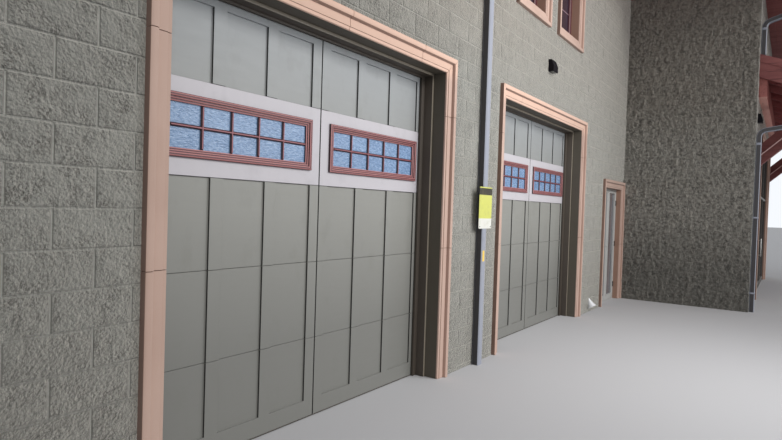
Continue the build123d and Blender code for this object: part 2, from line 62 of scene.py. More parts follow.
class Link:  # an output socket that adds and multiplies like a number
    def __init__(self, shade, socket):
        self.shade = shade
        self.socket = socket

    def maths(self, operation, left, right):
        return self.shade.node("ShaderNodeMath", {"operation": operation}, {0: left, 1: right})

    def __add__(self, other):
        return self.maths("ADD", self, other)

    def __sub__(self, other):
        return self.maths("SUBTRACT", self, other)

    def __rsub__(self, other):
        return self.maths("SUBTRACT", other, self)

    def __mul__(self, other):
        return self.maths("MULTIPLY", self, other)

    def __gt__(self, other):
        return self.maths("GREATER_THAN", self, other)

    __radd__ = __add__
    __rmul__ = __mul__


class Shade:  # the nodes of one material, or of the world
    def __init__(self, name, world=None):
        self.holder = world or bpy.data.materials.new(name)
        self.holder.use_nodes = True
        self.nodes = self.holder.node_tree.nodes
        self.links = self.holder.node_tree.links
        self.shader = self.nodes["Background" if world else "Principled BSDF"]

    def feed(self, socket, value):
        if isinstance(value, Link):
            self.links.new(value.socket, socket)
        else:
            socket.default_value = value

    def node(self, kind, settings=None, sockets=None, output=0):
        made = self.nodes.new(kind)
        for key, value in (settings or {}).items():
            if key == "stops":
                for stop, (place, level) in zip(made.color_ramp.elements, value):
                    stop.position = place
                    stop.color = (level, level, level, 1)
            else:
                setattr(made, key, value)
        for key, value in (sockets or {}).items():
            self.feed(made.inputs[key], value)
        return Link(self, made.outputs[output])

    def place(self, stretch=(1, 1, 1), turn=(0, 0, 0)):
        where = self.node("ShaderNodeTexCoord", output="Object")
        return self.node("ShaderNodeMapping", None, {"Vector": where, "Scale": stretch, "Rotation": turn})

    def grain(self, scale, detail=3.0, stretch=(1, 1, 1), turn=(0, 0, 0), rough=0.55):
        return self.node(
            "ShaderNodeTexNoise", None,
            {"Vector": self.place(stretch, turn), "Scale": scale, "Detail": detail, "Roughness": rough},
        )

    def ramp(self, value, zero, one):  # 0 at and beyond the first place, 1 at and beyond the second
        return self.node("ShaderNodeValToRGB", {"stops": sorted(((zero, 0.0), (one, 1.0)))}, {"Fac": value})

    def mix(self, share, first, second):  # colours are links, or red, green and blue as seen
        first, second = (c if isinstance(c, Link) else paint(*c) for c in (first, second))
        return self.node("ShaderNodeMix", {"data_type": "RGBA"}, {0: share, 6: first, 7: second}, 2)

    def axis(self, number):  # how far along X, Y or Z
        return self.node("ShaderNodeSeparateXYZ", None, {0: self.place()}, number)

    def mark(self, name, channel):  # one channel of a mesh's own marks
        marks = self.node("ShaderNodeAttribute", {"attribute_name": name})
        return self.node("ShaderNodeSeparateColor", None, {0: marks}, channel)

    def bump(self, height, distance, strength=1.0):
        sockets = {"Height": height, "Distance": distance, "Strength": strength}
        return self.node("ShaderNodeBump", None, sockets)

    def finish(self, **sockets):
        for key, value in sockets.items():
            self.feed(self.shader.inputs[key.replace("_", " ")], value)
        return self.holder


def paint(red, green, blue):  # a colour as seen on screen, 0 to 255
    def level(part):
        part /= 255
        return part / 12.92 if part < 0.04045 else ((part + 0.055) / 1.055) ** 2.4

    return (level(red), level(green), level(blue), 1)


# finishes

blockPaint = {
    "low": (142, 143, 137), "high": (170, 171, 164), "joint": (176, 175, 166), "hollowShade": (70, 69, 63),
    "ridge": (190, 189, 179), "dust": (138, 133, 121), "lowerDarkening": (98, 97, 91), "bounceColour": (206, 200, 189),
    # the next two colours: painted light on the upper wall, and painted shade towards the wing
    "paintedUpperLight": (166, 155, 142), "thick": (120, 121, 116),
}


def makeBlockPaint(name, bounceShare, wormShare, depth, sheen, contrast):
    shade = Shade(name)
    tone, bed, head = (shade.mark("blockMarks", channel) for channel in range(3))
    east, up = shade.axis(0), shade.axis(2)
    worn = shade.ramp(east * 0.05 + 0.5, 0.1, 0.28) * (1 - bounceShare)  # the paint lies thicker towards the wing
    calm = (1 - bed * 0.45 - head * 0.7) * (1 - worn * 0.5)
    worms = shade.grain(20.0, 2.5, rough=0.55)
    chips = shade.grain(78.0, 4.0, rough=0.7)
    flakes = shade.node("ShaderNodeTexVoronoi", None, {"Vector": shade.place(), "Scale": 52.0})
    cavity = worms * wormShare + chips * (1 - wormShare)
    pitted = shade.ramp(shade.grain(6.0, 3.0), 0.38, 0.62) * (1 - bounceShare * 0.7) + bounceShare * 0.7
    cloud = tone * 0.2 + shade.grain(1.1, 3.0) * 0.3 + chips * 0.5
    face = shade.mix(cloud, blockPaint["low"], blockPaint["high"])
    face = shade.mix(shade.ramp(shade.grain(2.6, 5.0), 0.56, 0.82) * 0.25, face, blockPaint["dust"])
    # painted light: a lighter, browner tint stands for the brown bounce light on the wing's side wall
    face = shade.mix(bounceShare, face, blockPaint["bounceColour"])
    # painted light: the wall grows warmer towards its top
    face = shade.mix(shade.ramp(up * 0.2, 0.62, 0.8) * 0.6, face, blockPaint["paintedUpperLight"])
    # painted shade: the wall darkens towards the wing
    wingShadeShare = shade.ramp(east * 0.05 + 0.5, 0.25, 0.4) * (1 - bounceShare)
    face = shade.mix(wingShadeShare * 0.6, face, blockPaint["thick"])
    # darker towards the bottom of the wall
    face = shade.mix(shade.ramp(up * 0.5, 0.9, 0.3) * 0.6, face, blockPaint["lowerDarkening"])
    # painted shade darkens the hollows of the split faces, and a painted highlight lightens their ridges
    hollow = shade.ramp(cavity, 0.53, 0.46) * pitted * calm * contrast
    face = shade.mix(hollow, face, blockPaint["hollowShade"])
    face = shade.mix(shade.ramp(cavity, 0.54, 0.68) * calm * contrast * 0.35, face, blockPaint["ridge"])
    face = shade.mix(bed * (0.15 + worn * 0.5) + head * 0.45, face, blockPaint["joint"])
    rough = (worms * (0.5 + wormShare) + chips * 0.8 + flakes * 0.4) * calm
    return shade.finish(
        Base_Color=face, Roughness=0.5 + chips * 0.14, Sheen_Weight=sheen, Sheen_Roughness=0.45,
        Sheen_Tint=paint(255, 250, 240), Normal=shade.bump(rough, depth, 1.0),
    )


def makeInnerPaint():
    shade = Shade("innerBlock")
    east, north, up = (shade.axis(number) for number in range(3))
    run = shade.node("ShaderNodeCombineXYZ", None, {0: east + north, 1: up - 0.04})
    bricks = shade.node(
        "ShaderNodeTexBrick", {"offset": 0.5},
        {"Vector": run, "Scale": 1.0, "Brick Width": 0.4064, "Row Height": 0.2032, "Mortar Size": 0.005,
         "Color1": paint(118, 116, 107), "Color2": paint(128, 126, 117), "Mortar": paint(140, 138, 128)},
    )
    dust = shade.grain(2.5, 4.0)
    face = shade.mix(dust * 0.4, bricks, (104, 100, 90))
    return shade.finish(
        Base_Color=face, Roughness=0.85, Normal=shade.bump(shade.grain(60.0, 4.0), 0.004, 0.6)
    )


stoneColours = {
    "low": (174, 145, 131), "high": (202, 174, 160), "shadeLow": (116, 89, 76), "shadeHigh": (142, 114, 101),
    "stepShadeLow": (148, 118, 105), "stepShadeHigh": (178, 148, 134), "stain": (170, 138, 122),
    "revealShadeLow": (136, 104, 88), "revealShadeHigh": (166, 131, 113), "paintedUpperLight": (230, 192, 170),
    "mortar": (120, 92, 79), "darkMortar": (100, 78, 66),
}


def makeStone(name, low, high, paintedUpperLight=0.0):
    shade = Shade(name)
    cloud = shade.grain(1.6, 4.0)
    sand = shade.grain(240.0, 2.0)
    face = shade.mix(cloud * 0.9 + sand * 0.3 - 0.1, low, high)
    streak = shade.ramp(shade.grain(9.0, 4.0, (1, 1, 0.12)), 0.55, 0.78)
    face = shade.mix(streak * 0.35, face, stoneColours["stain"])
    up = shade.axis(2)
    head = shade.ramp(up * 0.2, 0.6, 0.62) * shade.ramp(up * 0.2, 0.86, 0.8)  # painted light, only at the doors' heads
    face = shade.mix(head * paintedUpperLight, face, stoneColours["paintedUpperLight"])
    return shade.finish(
        Base_Color=face, Roughness=0.66 + sand * 0.12, Sheen_Weight=0.15, Normal=shade.bump(sand, 0.0015, 0.4)
    )


def makeMortar():
    shade = Shade("stoneMortar")
    face = shade.mix(shade.grain(90.0), stoneColours["mortar"], stoneColours["darkMortar"])
    return shade.finish(Base_Color=face, Roughness=0.95)


def makeEnamel(name, main, worn, roughness, brushed=True):
    shade = Shade(name)
    streak = shade.grain(26.0, 4.0, (1, 1, 0.1) if brushed else (1, 1, 1))
    fine = shade.grain(330.0, 2.0)
    face = shade.mix((shade.grain(0.9) * 0.6 + streak * 0.4 - 0.15) * 0.6, main, worn)
    dirt = shade.ramp(shade.grain(7.0, 5.0), 0.56, 0.75)
    face = shade.mix(dirt * 0.25, face, [c * 0.82 for c in main])
    normal = shade.bump(fine * 0.5 + streak * 0.5, 0.0006, 0.6)
    return shade.finish(Base_Color=face, Roughness=roughness + streak * 0.16, Normal=normal)


def makeDullBlack():
    shade = Shade("dullBlack")
    face = shade.mix(shade.grain(8.0, 4.0), (17, 14, 18), (30, 27, 31))
    return shade.finish(Base_Color=face, Roughness=0.8, Specular_IOR_Level=0.1)


doorReflectionAndWear = {
    "foot": (124, 124, 120), "middle": (145, 145, 140), "top": (154, 158, 161), "worn": (118, 118, 111),
}


def makeDoorPaint():
    shade = Shade("oliveDoorPaint")
    up = shade.axis(2)
    brush = shade.grain(30.0, 4.0, (0.15, 1, 1))
    drift = shade.grain(1.2, 4.0)
    # painted reflection: darker at the foot, lighter and bluer at the top
    face = shade.mix(shade.ramp(up * 0.3, 0.2, 0.5), doorReflectionAndWear["foot"], doorReflectionAndWear["middle"])
    face = shade.mix(shade.ramp(up * 0.3, 0.6, 0.9), face, doorReflectionAndWear["top"])
    scuffs = shade.ramp(shade.grain(6.0, 5.0, (1, 1, 0.6)), 0.56, 0.8)
    face = shade.mix(scuffs * 0.3 + drift * 0.16 + brush * 0.1 - 0.06, face, doorReflectionAndWear["worn"])
    normal = shade.bump(brush * 0.6 + drift * 0.4, 0.0006, 0.5)
    return shade.finish(Base_Color=face, Roughness=0.4 + brush * 0.16, Normal=normal)


def makeTimber(name, dark, light, stretch, slope=0):  # the grain runs where stretch is small
    shade = Shade(name)
    turn = (radians(slope), 0, 0)
    rings = shade.grain(7.0, 6.0, stretch, turn, 0.65)
    fibre = shade.grain(60.0, 4.0, stretch, turn)
    tone = shade.ramp(rings, 0.3, 0.72)
    face = shade.mix(tone * 0.7 + fibre * 0.3, dark, light)
    check = shade.ramp(shade.grain(28.0, 3.0, stretch, turn), 0.38, 0.3)
    face = shade.mix(check * 0.6, face, [c * 0.45 for c in dark])
    normal = shade.bump(fibre + rings * 0.5 - check, 0.004, 0.7)
    return shade.finish(Base_Color=face, Roughness=0.6 + fibre * 0.25, Normal=normal)


def makePebbledGlass():
    shade = Shade("pebbledGlass")
    drift = shade.grain(4.0, 3.0, (1, 1, 1.6))
    ripples = shade.grain(74.0, 4.0, (0.4, 1, 1.7), rough=0.7)
    place = shade.place((0.6, 1, 1.5))
    pebbles = shade.node("ShaderNodeTexVoronoi", {"feature": "SMOOTH_F1"}, {"Vector": place, "Scale": 70.0})
    face = shade.mix(drift * 0.7 + pebbles * 0.4 - 0.15, (98, 128, 168), (150, 178, 212))
    # painted shade in the ripples and painted glints on them
    face = shade.mix(shade.ramp(ripples, 0.48, 0.38) * 0.5, face, (74, 100, 136))
    face = shade.mix(shade.ramp(ripples, 0.54, 0.68) * 0.45, face, (196, 216, 238))
    return shade.finish(
        Base_Color=face, Roughness=0.2 + pebbles * 0.14, Normal=shade.bump(pebbles + ripples, 0.004, 0.6)
    )


def makeClearGlass(name, dark, light, through, stretch=(1, 1, 0.4)):
    shade = Shade(name)
    drift = shade.grain(1.7, 3.0, stretch)
    ripple = shade.grain(3.0, 1.0)
    # painted reflections: streaks between the dark and the light colour
    face = shade.mix(shade.ramp(drift, 0.35, 0.7), dark, light)
    return shade.finish(
        Base_Color=face, Roughness=0.03, Transmission_Weight=through, IOR=1.45,
        Normal=shade.bump(ripple, 0.002, 0.25),
    )


def makeMetal(name, main, worn, roughness, metallic=1.0, stretch=(1, 1, 1)):
    shade = Shade(name)
    brush = shade.grain(80.0, 3.0, stretch)
    cloud = shade.grain(6.0, 4.0)
    face = shade.mix(cloud * 0.8, main, worn)
    return shade.finish(
        Base_Color=face, Metallic=metallic, Roughness=roughness + brush * 0.12,
        Normal=shade.bump(brush, 0.0008, 0.4),
    )


def makeShingle():
    shade = Shade("granuleShingle")
    tone = shade.mark("tabMarks", 0)
    granules = shade.grain(420.0, 2.0)
    drift = shade.grain(1.1, 4.0)
    face = shade.mix(tone * 0.7 + granules * 0.4 + drift * 0.2 - 0.15, (58, 50, 47), (112, 98, 88))
    return shade.finish(Base_Color=face, Roughness=0.9, Normal=shade.bump(granules, 0.002, 0.9))


def makeConcrete():
    shade = Shade("trowelledConcrete")
    face = shade.mix(shade.grain(1.4, 5.0), (150, 150, 146), (178, 177, 172))
    face = shade.mix(shade.ramp(shade.grain(5.0, 5.0), 0.55, 0.8) * 0.4, face, (128, 126, 120))
    normal = shade.bump(shade.grain(60.0, 4.0), 0.003, 0.5)
    return shade.finish(Base_Color=face, Roughness=0.8, Normal=normal)


noticePlate = {
    "topStrip": 0.088, "topStripEdge": 0.012, "bottomStrip": 0.112, "corner": 0.018, "screw": 0.007,
    "screwInset": 0.022,
}


def makePlatePaint():
    shade = Shade("noticePlatePaint")
    low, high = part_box("notice_plate")
    up = shade.axis(2)
    white = (low.z + noticePlate["bottomStrip"]) - up > 0
    black = up > high.z - noticePlate["topStrip"]
    rim = up > high.z - noticePlate["topStripEdge"]
    face = shade.mix(white, (204, 206, 104), (220, 220, 212))
    face = shade.mix(black * (1 - rim), face, (52, 48, 34))
    grime = shade.ramp(shade.grain(22.0, 5.0), 0.52, 0.8)
    face = shade.mix(grime * 0.3, face, (150, 142, 96))
    return shade.finish(Base_Color=face, Roughness=0.45)


enamels = {  # name, colour, worn colour, roughness, and False where no brush marks show
    "recessShade": ("panelShadePaint", (24, 24, 22), (36, 35, 32), 0.6),
    "pale": ("palePaint", (196, 192, 197), (180, 179, 185), 0.42),
    "red": ("redPaint", (90, 42, 48), (70, 34, 42), 0.36, False),
    "redShadeSide": ("shadedRedPaint", (54, 26, 36), (44, 22, 30), 0.5, False),
    "barHighlightRed": ("litBarRedPaint", (150, 86, 92), (124, 68, 76), 0.36, False),
    "grid": ("gridPaint", (138, 112, 120), (116, 92, 102), 0.4, False),
    "redHighlight": ("paintedHighlightRed", (192, 132, 130), (164, 106, 108), 0.36, False),
    "sheet": ("revealShadePaint", (86, 80, 70), (72, 66, 57), 0.55),
    "steel": ("darkSteelPaint", (72, 64, 56), (58, 52, 46), 0.5),
    "steelEdge": ("palerSteelEdge", (146, 138, 124), (116, 108, 96), 0.4),
    "gutter": ("gutterPaint", (154, 158, 170), (134, 137, 148), 0.34),
    "pipeSideShade": ("gutterShadePaint", (64, 62, 64), (52, 51, 54), 0.5),
    "walkFrame": ("whiteFramePaint", (186, 186, 184), (172, 172, 170), 0.42),
    "darkDoor": ("darkDoorPaint", (62, 56, 50), (48, 44, 40), 0.4),
    "lightBlack": ("blackLightPaint", (20, 17, 21), (30, 27, 31), 0.66),
    "lampHoodLit": ("lampHoodHighlight", (136, 132, 136), (118, 114, 118), 0.3),
    "lens": ("smokedLens", (44, 46, 50), (58, 60, 64), 0.15, False),
    "markerMiddle": ("palerMarkerPaint", (252, 240, 196), (234, 220, 170), 0.5, False),
    "marker": ("markerPaint", (246, 208, 96), (222, 184, 76), 0.5, False),
}
timbers = {  # name, dark and light colour, stretch of the grain, and its slope in degrees
    "fascia": ("timberAlongFront", (124, 68, 64), (176, 110, 102), (0.06, 1, 1)),
    "rake": ("timberDownSlope", (118, 66, 66), (164, 102, 98), (1, 0.06, 1), -22.6),
    "soffit": ("soffitTimber", (146, 78, 78), (186, 114, 110), (1, 0.06, 1)),
    "brace": ("timberUpBrace", (112, 62, 62), (158, 98, 94), (1, 0.06, 1), 43.0),
    "ledgeHighlightTimber": ("timberHighlightLedge", (232, 186, 182), (246, 212, 208), (1, 0.06, 1), 43.0),
    "ledger": ("ledgerUnderLitTimber", (214, 150, 138), (236, 180, 168), (0.06, 1, 1)),
}
finish = {
    "block": makeBlockPaint("paintedSplitBlock", 0.0, 0.3, 0.045, 0.9, 0.95),
    # the wing's side wall: a lighter, browner copy of the paint, as painted bounce light
    "cornerBlock": makeBlockPaint("bounceLitSplitBlock", 0.8, 0.45, 0.1, 0.2, 0.9),
    "inner": makeInnerPaint(),
    "stone": makeStone("castStone", stoneColours["low"], stoneColours["high"], 0.6),
    "revealShadeStone": makeStone("shadedCastStoneReveal", stoneColours["revealShadeLow"], stoneColours["revealShadeHigh"]),
    "stoneShade": makeStone("shadedCastStoneReturn", stoneColours["shadeLow"], stoneColours["shadeHigh"]),
    "stepShadeStone": makeStone("shadedCastStoneStep", stoneColours["stepShadeLow"], stoneColours["stepShadeHigh"]),
    "mortar": makeMortar(),
    "door": makeDoorPaint(),
    "lightSide": makeDullBlack(),
    "hinge": makeMetal("darkHinge", (70, 62, 60), (50, 44, 42), 0.4),
    "pull": makeMetal("brushedPull", (190, 188, 184), (170, 168, 164), 0.22, 1.0, (1, 1, 0.1)),
    # painted reflection: the nozzle's polished steel is near white
    "nozzle": makeMetal("polishedNozzle", (250, 251, 253), (230, 233, 236), 0.18, 0.15),
    "screw": makeMetal("screwMetal", (150, 148, 144), (120, 118, 114), 0.3),
    "obscured": makePebbledGlass(),
    "upperGlass": makeClearGlass("upperWindowGlass", (46, 36, 48), (78, 66, 82), 0.25),
    "doorGlass": makeClearGlass("doorGlass", (88, 86, 92), (158, 158, 164), 0.3, (7, 7, 0.5)),
    "shingle": makeShingle(),
    "concrete": makeConcrete(),
    "plate": makePlatePaint(),
}
for key in enamels:
    finish[key] = makeEnamel(*enamels[key])
for key in timbers:
    finish[key] = makeTimber(*timbers[key])
print("finishes made:", len(finish))


# making pieces


def sideFrame(x, y, turn):  # along the wall from its left-hand end, into the building, up
    return Matrix.Translation((x, y, 0)) @ Matrix.Rotation(radians(turn), 4, "Z")


sides = {
    "front": sideFrame(leftEdge, mainFace, 0),
    "wing": sideFrame(wingEdge, wingFace, 0),
    "wingSide": sideFrame(wingEdge, mainFace, -90),
    "left": sideFrame(leftEdge, backFace, -90),
    "right": sideFrame(rightEdge, wingFace, 90),
    "back": sideFrame(rightEdge, backFace, 180),
}


def makePiece(name, bm, materials, body="building", standsFor=(), smooth=None):
    mesh = bpy.data.meshes.new(name)
    if smooth:
        for face in bm.faces:
            face.smooth = True
        for edge in bm.edges:
            edge.smooth = edge.calc_face_angle(pi) < radians(smooth)
    bm.to_mesh(mesh)
    bm.free()
    for material in materials:
        mesh.materials.append(finish[material])
    piece = bpy.data.objects.new(name, mesh)
    bpy.context.scene.collection.objects.link(piece)
    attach(piece, body)
    if standsFor:
        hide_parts(*standsFor)
    return piece


def ease(bm, edges, size, segments=2, clamp=False):
    return bmesh.ops.bevel(
        bm, geom=edges, offset=size, segments=segments, profile=0.5, affect="EDGES", material=-1,
        clamp_overlap=clamp,
    )


def addBlock(bm, low, high, edge=0.0, place=None, index=0, segments=2):
    low, high = Vector(low), Vector(high)
    verts = bmesh.ops.create_cube(bm, size=1)["verts"]
    bmesh.ops.scale(bm, vec=high - low, verts=verts)
    bmesh.ops.translate(bm, vec=(low + high) / 2, verts=verts)
    faces = {face for vert in verts for face in vert.link_faces}
    if edge:
        made = ease(bm, list({e for vert in verts for e in vert.link_edges}), edge, segments)
        faces = {face for face in faces if face.is_valid} | set(made["faces"])
        verts = list({vert for face in faces for vert in face.verts})
    for face in faces:
        face.material_index = index
    if place:
        bmesh.ops.transform(bm, matrix=place, verts=verts)
    return verts


def addRod(bm, start, end, radius, index=0):
    start, end = Vector(start), Vector(end)
    along = end - start
    turn = along.to_track_quat("Z", "Y").to_matrix().to_4x4()
    made = bmesh.ops.create_cone(
        bm, cap_ends=True, segments=12, radius1=radius, radius2=radius, depth=along.length,
        matrix=Matrix.Translation((start + end) / 2) @ turn,
    )
    for vert in made["verts"]:
        for face in vert.link_faces:
            face.material_index = index


def turnOut(bm):  # all faces outwards
    bmesh.ops.recalc_face_normals(bm, faces=bm.faces)
    bm.normal_update()


def vertsOf(made):
    return [item for item in made["geom"] if isinstance(item, bmesh.types.BMVert)]


def addMoulding(bm, outline, place, low, high, mitreLow=0.0, mitreHigh=0.0, index=0, part=None):
    near = [bm.verts.new((across, out, 0)) for across, out in outline]
    face = bm.faces.new(near)
    made = bmesh.ops.extrude_face_region(bm, geom=[face])
    far = vertsOf(made)
    for vert in near:
        vert.co.z = low - mitreLow * vert.co.x
    for vert in far:
        vert.co.z = high + mitreHigh * vert.co.x
    for vert in near + far:
        for side in vert.link_faces:
            side.material_index = index
    if part:
        for i in range(len(near)):
            edge = bm.edges.get((near[i - 1], near[i]))
            for side in edge.link_faces:
                if len(side.verts) == 4:
                    side.material_index = part(outline[i - 1], outline[i])
    bmesh.ops.transform(bm, matrix=place, verts=near + far)


def axes(across, out, along, origin):
    return Matrix.Translation(origin) @ Matrix((across, out, along)).transposed().to_4x4()


def addCasing(bm, side, inner, outline, sill=False, jambStones=(), headStones=(), gap=0.0, index=0,
              part=None):
    # inner is the rectangle inside the frame: x0, x1, z0, z1 on the side, and outline runs outwards from it
    x0, x1, z0, z1 = inner
    place = sides[side] if isinstance(side, str) else side
    out = (0, -1, 0)
    runs = [
        (axes((-1, 0, 0), out, (0, 0, 1), (x0, 0, 0)), z0, z1, jambStones, 1 if sill else 0, 1),
        (axes((1, 0, 0), out, (0, 0, 1), (x1, 0, 0)), z0, z1, jambStones, 1 if sill else 0, 1),
        (axes((0, 0, 1), out, (1, 0, 0), (0, 0, z1)), x0, x1, headStones, 1, 1),
    ]
    if sill:
        runs.append((axes((0, 0, -1), out, (1, 0, 0), (0, 0, z0)), x0, x1, headStones, 1, 1))
    for matrix, low, high, joints, mitreLow, mitreHigh in runs:
        edges = [low, *joints, high]
        for i in range(len(edges) - 1):
            first, last = i == 0, i == len(edges) - 2
            addMoulding(
                bm, outline, place @ matrix,
                edges[i] + (gap / 2 if not first or mitreLow else 0), edges[i + 1] - gap / 2,
                mitreLow if first else 0, mitreHigh if last else 0, index, part,
            )


def softened(node, materials, edge, body="building", sort=None, smooth=35, segments=2):
    # the CAD node's own shape with its arrises eased
    bm = bmesh.new()
    bm.from_mesh(nodes[node].data)
    bmesh.ops.remove_doubles(bm, verts=bm.verts, dist=1e-5)
    bmesh.ops.dissolve_limit(bm, angle_limit=radians(1), verts=bm.verts, edges=bm.edges)
    sharp = [e for e in bm.edges if e.is_manifold and e.calc_face_angle(0) > radians(30)]
    ease(bm, sharp, edge, segments, clamp=True)
    bm.normal_update()
    if sort:
        for face in bm.faces:
            face.material_index = sort(face)
    return makePiece(node + "_eased", bm, materials, body, (node,), smooth)


revealSheet = {"thick": 0.0018, "start": 0.0005}


def addReveal(bm, side, inner, depth, sill=False):
    # thin sheets on the sides of an opening, from the wall's face inwards
    x0, x1, z0, z1 = inner
    start, thick = revealSheet["start"], revealSheet["thick"]
    sheets = [
        (x0, x0 + thick, z0, z1), (x1 - thick, x1, z0, z1), (x0 + thick, x1 - thick, z1 - thick, z1),
        (x0 + thick, x1 - thick, z0, z0 + thick),
    ]
    for a, b, c, d in sheets if sill else sheets[:3]:
        addBlock(bm, (a, start, c), (b, depth, d), place=sides[side])


def dress(material, *names):
    for name in names:
        slots = nodes[name].data.materials
        slots.clear()
        slots.append(finish[material])


stoneCasing = {
    "width": 0.150, "quirk": 0.027, "fascia": 0.024, "step": 0.090, "band": 0.100,
    "crown": 0.057, "bandEdge": 0.049, "joint": 0.005, "core": 0.006,
    "jambStones": (1.327, 2.650), "headStone": 1.05, "walkStone": 1.12, "shadeSheetDepth": 0.135,
    "screenStones": (-1.625, -0.5, 0.5, 1.625),
}


# block walls

blockWall = {
    "course": 0.2032, "firstJoint": 0.040, "groove": 0.003, "shoulder": 0.0085, "behindStone": 0.120,
    "cornerLap": 0.012, "margin": 0.075, "marginHeight": 0.005, "thickPaint": (3.0, 6.0), "filled": 0.6,
    "jointWear": 0.0015, "arrisWear": 0.0018, "arrisDrift": 0.002, "grit": 0.006, "sway": 0.004,
    "heave": 0.003, "back": 0.002,
}
relief = {
    "plain": {"head": 0.0155, "bed": 0.0170, "arris": 0.0182, "face": 0.0195, "tilt": 0.005, "least": 0.011,
              "most": 0.029, "lump": 0.010, "showJoint": 1, "tall": (1, 1)},
    "rugged": {"head": 0.019, "bed": 0.019, "arris": 0.020, "face": 0.021, "tilt": 0.003, "least": 0.002,
               "most": 0.042, "lump": 0.036, "showJoint": 0, "tall": (1.6, 0.8)},
}


def cellPlace(cell, cells):  # where a grid line lies in a half block: joint edge, joint edge, arris ... arris
    w = blockWall
    if cell == 0:
        return -w["groove"]
    if cell == 1:
        return w["groove"]
    return w["shoulder"] + (cell - 2) * (w["course"] - 2 * w["shoulder"]) / (cells - 1)


def splitFace(half, column, course, row, cells, seed, x, z, r):
    # joints stay low, arrises are ragged, and the faces between them are rough: height, bed, head
    w = blockWall
    last = cells + 1
    headAt = (half + course) % 2 == 0
    spot = Vector((x, z, seed))
    ragged = noise.noise(spot * 31)
    if row < 2:
        return r["bed"] + w["jointWear"] * ragged, 1.0, 0.0
    if column < 2 and headAt:
        return r["head"], 0.0, 1.0
    beside = row in (2, last) or (column == 2 and headAt) or (column == last and not headAt)
    if beside:
        return r["arris"] + w["arrisWear"] * ragged + w["arrisDrift"] * noise.noise(spot * 9), 0.0, 0.0
    block = (half + (course % 2)) // 2
    lean = noise.cell(Vector((block + 0.5, course + 0.5, seed))) - 0.5
    lift = noise.cell(Vector((block + 7.5, course + 3.5, seed + 4))) - 0.5
    height = r["face"] + r["tilt"] * (lean + lift * 5 * (z % w["course"]))
    lumps = Vector((x * r["tall"][0], z * r["tall"][1], seed))
    height += r["lump"] * (noise.noise(lumps * 8) + noise.noise(lumps * 15)) + w["grit"] * ragged
    return min(max(height, r["least"]), r["most"]), 0.0, 0.0


def besideStone(gap, x, z):  # 1 at a surround's outer edge, 0 a hand's width away
    trim = stoneCasing["width"]
    apart = max(gap[0] - trim - x, x - gap[1] - trim, gap[2] - trim - z, z - gap[3] - trim)
    return min(max(1 - apart / blockWall["margin"], 0), 1)


def blockSkin(name, side, start, end, gaps, cells, seed, paintName="block", reliefName="plain"):
    w, r = blockWall, relief[reliefName]
    perHalf = cells + 2
    halves = ceil(end / w["course"]) + 2
    courses = ceil((wallTop - w["firstJoint"]) / w["course"]) + 2
    columns, rows = halves * perHalf, courses * perHalf
    bm = bmesh.new()
    bmesh.ops.create_grid(bm, x_segments=columns, y_segments=rows, size=0.5)
    marks = bm.verts.layers.float_color.new("blockMarks")
    for vert in bm.verts:
        half, column = divmod(round((vert.co.x + 0.5) * columns), perHalf)
        course, row = divmod(round((vert.co.y + 0.5) * rows), perHalf)
        half, course = half - 1, course - 1
        x = half * w["course"] + cellPlace(column, cells)
        z = w["firstJoint"] + course * w["course"] + cellPlace(row, cells)
        height, bed, head = splitFace(half, column, course, row, cells, seed, x, z, r)
        block = (half + (course % 2)) // 2
        tone = noise.cell(Vector((block + 0.5, course + 0.5, seed + 9)))
        if bed + head == 0:
            x += w["sway"] * noise.noise(Vector((x * 14, z * 14, seed + 3)))
            z += w["heave"] * noise.noise(Vector((x * 14, z * 14, seed + 6)))
        if side == "front":  # thicker paint fills the joints towards the wing
            near, far = w["thickPaint"]
            height += (r["face"] - height) * w["filled"] * min(max((x - near) / (far - near), 0), 1)
        beside = max([besideStone(gap, x, z) for gap in gaps], default=0)  # smooth and low along the stones
        height += (w["marginHeight"] - height) * beside
        head = max(head, beside * 0.4)
        vert.co = (x, -height, z)
        vert[marks] = (tone, bed * r["showJoint"], head * r["showJoint"], 1)
    for spot, away in (((start, 0, 0), (-1, 0, 0)), ((end, 0, 0), (1, 0, 0)), ((0, 0, 0), (0, 0, -1)),
                       ((0, 0, wallTop), (0, 0, 1))):
        bmesh.ops.bisect_plane(
            bm, geom=bm.verts[:] + bm.edges[:] + bm.faces[:], plane_co=spot, plane_no=away, clear_outer=True
        )
    hidden = []
    lap = w["behindStone"]
    for face in bm.faces:
        spot = face.calc_center_median()
        if any(x0 - lap < spot.x < x1 + lap and z0 - lap < spot.z < z1 + lap for x0, x1, z0, z1 in gaps):
            hidden.append(face)
    bmesh.ops.delete(bm, geom=hidden, context="FACES")
    rim = [edge for edge in bm.edges if edge.is_boundary]
    made = bmesh.ops.extrude_edge_only(bm, edges=rim)
    for vert in vertsOf(made):
        vert.co.y = w["back"]
    bmesh.ops.transform(bm, matrix=sides[side], verts=bm.verts)
    return makePiece(name, bm, [paintName], smooth=50)


upperWindow = {
    "width": 0.840, "height": 1.230, "sill": 4.457, "spacing": 1.475, "setback": 0.120,
    "sash": 0.060, "sashDepth": 0.070,
}


def doorGap(node, side):  # the opening inside a stone surround, on its side
    low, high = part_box(node)
    trim = stoneCasing["width"]
    inverse = sides[side].inverted()
    a, b = inverse @ low, inverse @ high
    return (min(a.x, b.x) + trim, max(a.x, b.x) - trim, -1, high.z - trim)


overheadGaps = [doorGap(f"overhead_door_{n}_surround", "front") for n in (1, 2)]
serviceGap = doorGap("service_door_surround", "front")
entranceGap = doorGap("entrance_door_surround", "wing")
rightLength = backFace - wingFace
windowPairs = {
    "front": [(gap[0] + gap[1]) / 2 for gap in overheadGaps],
    "right": [rightLength * share for share in (0.2, 0.5, 0.8)],
    "back": [mainLength * (i + 0.5) / 4 for i in range(4)],
    "left": [mainDepth * 0.25, mainDepth * 0.75],
}


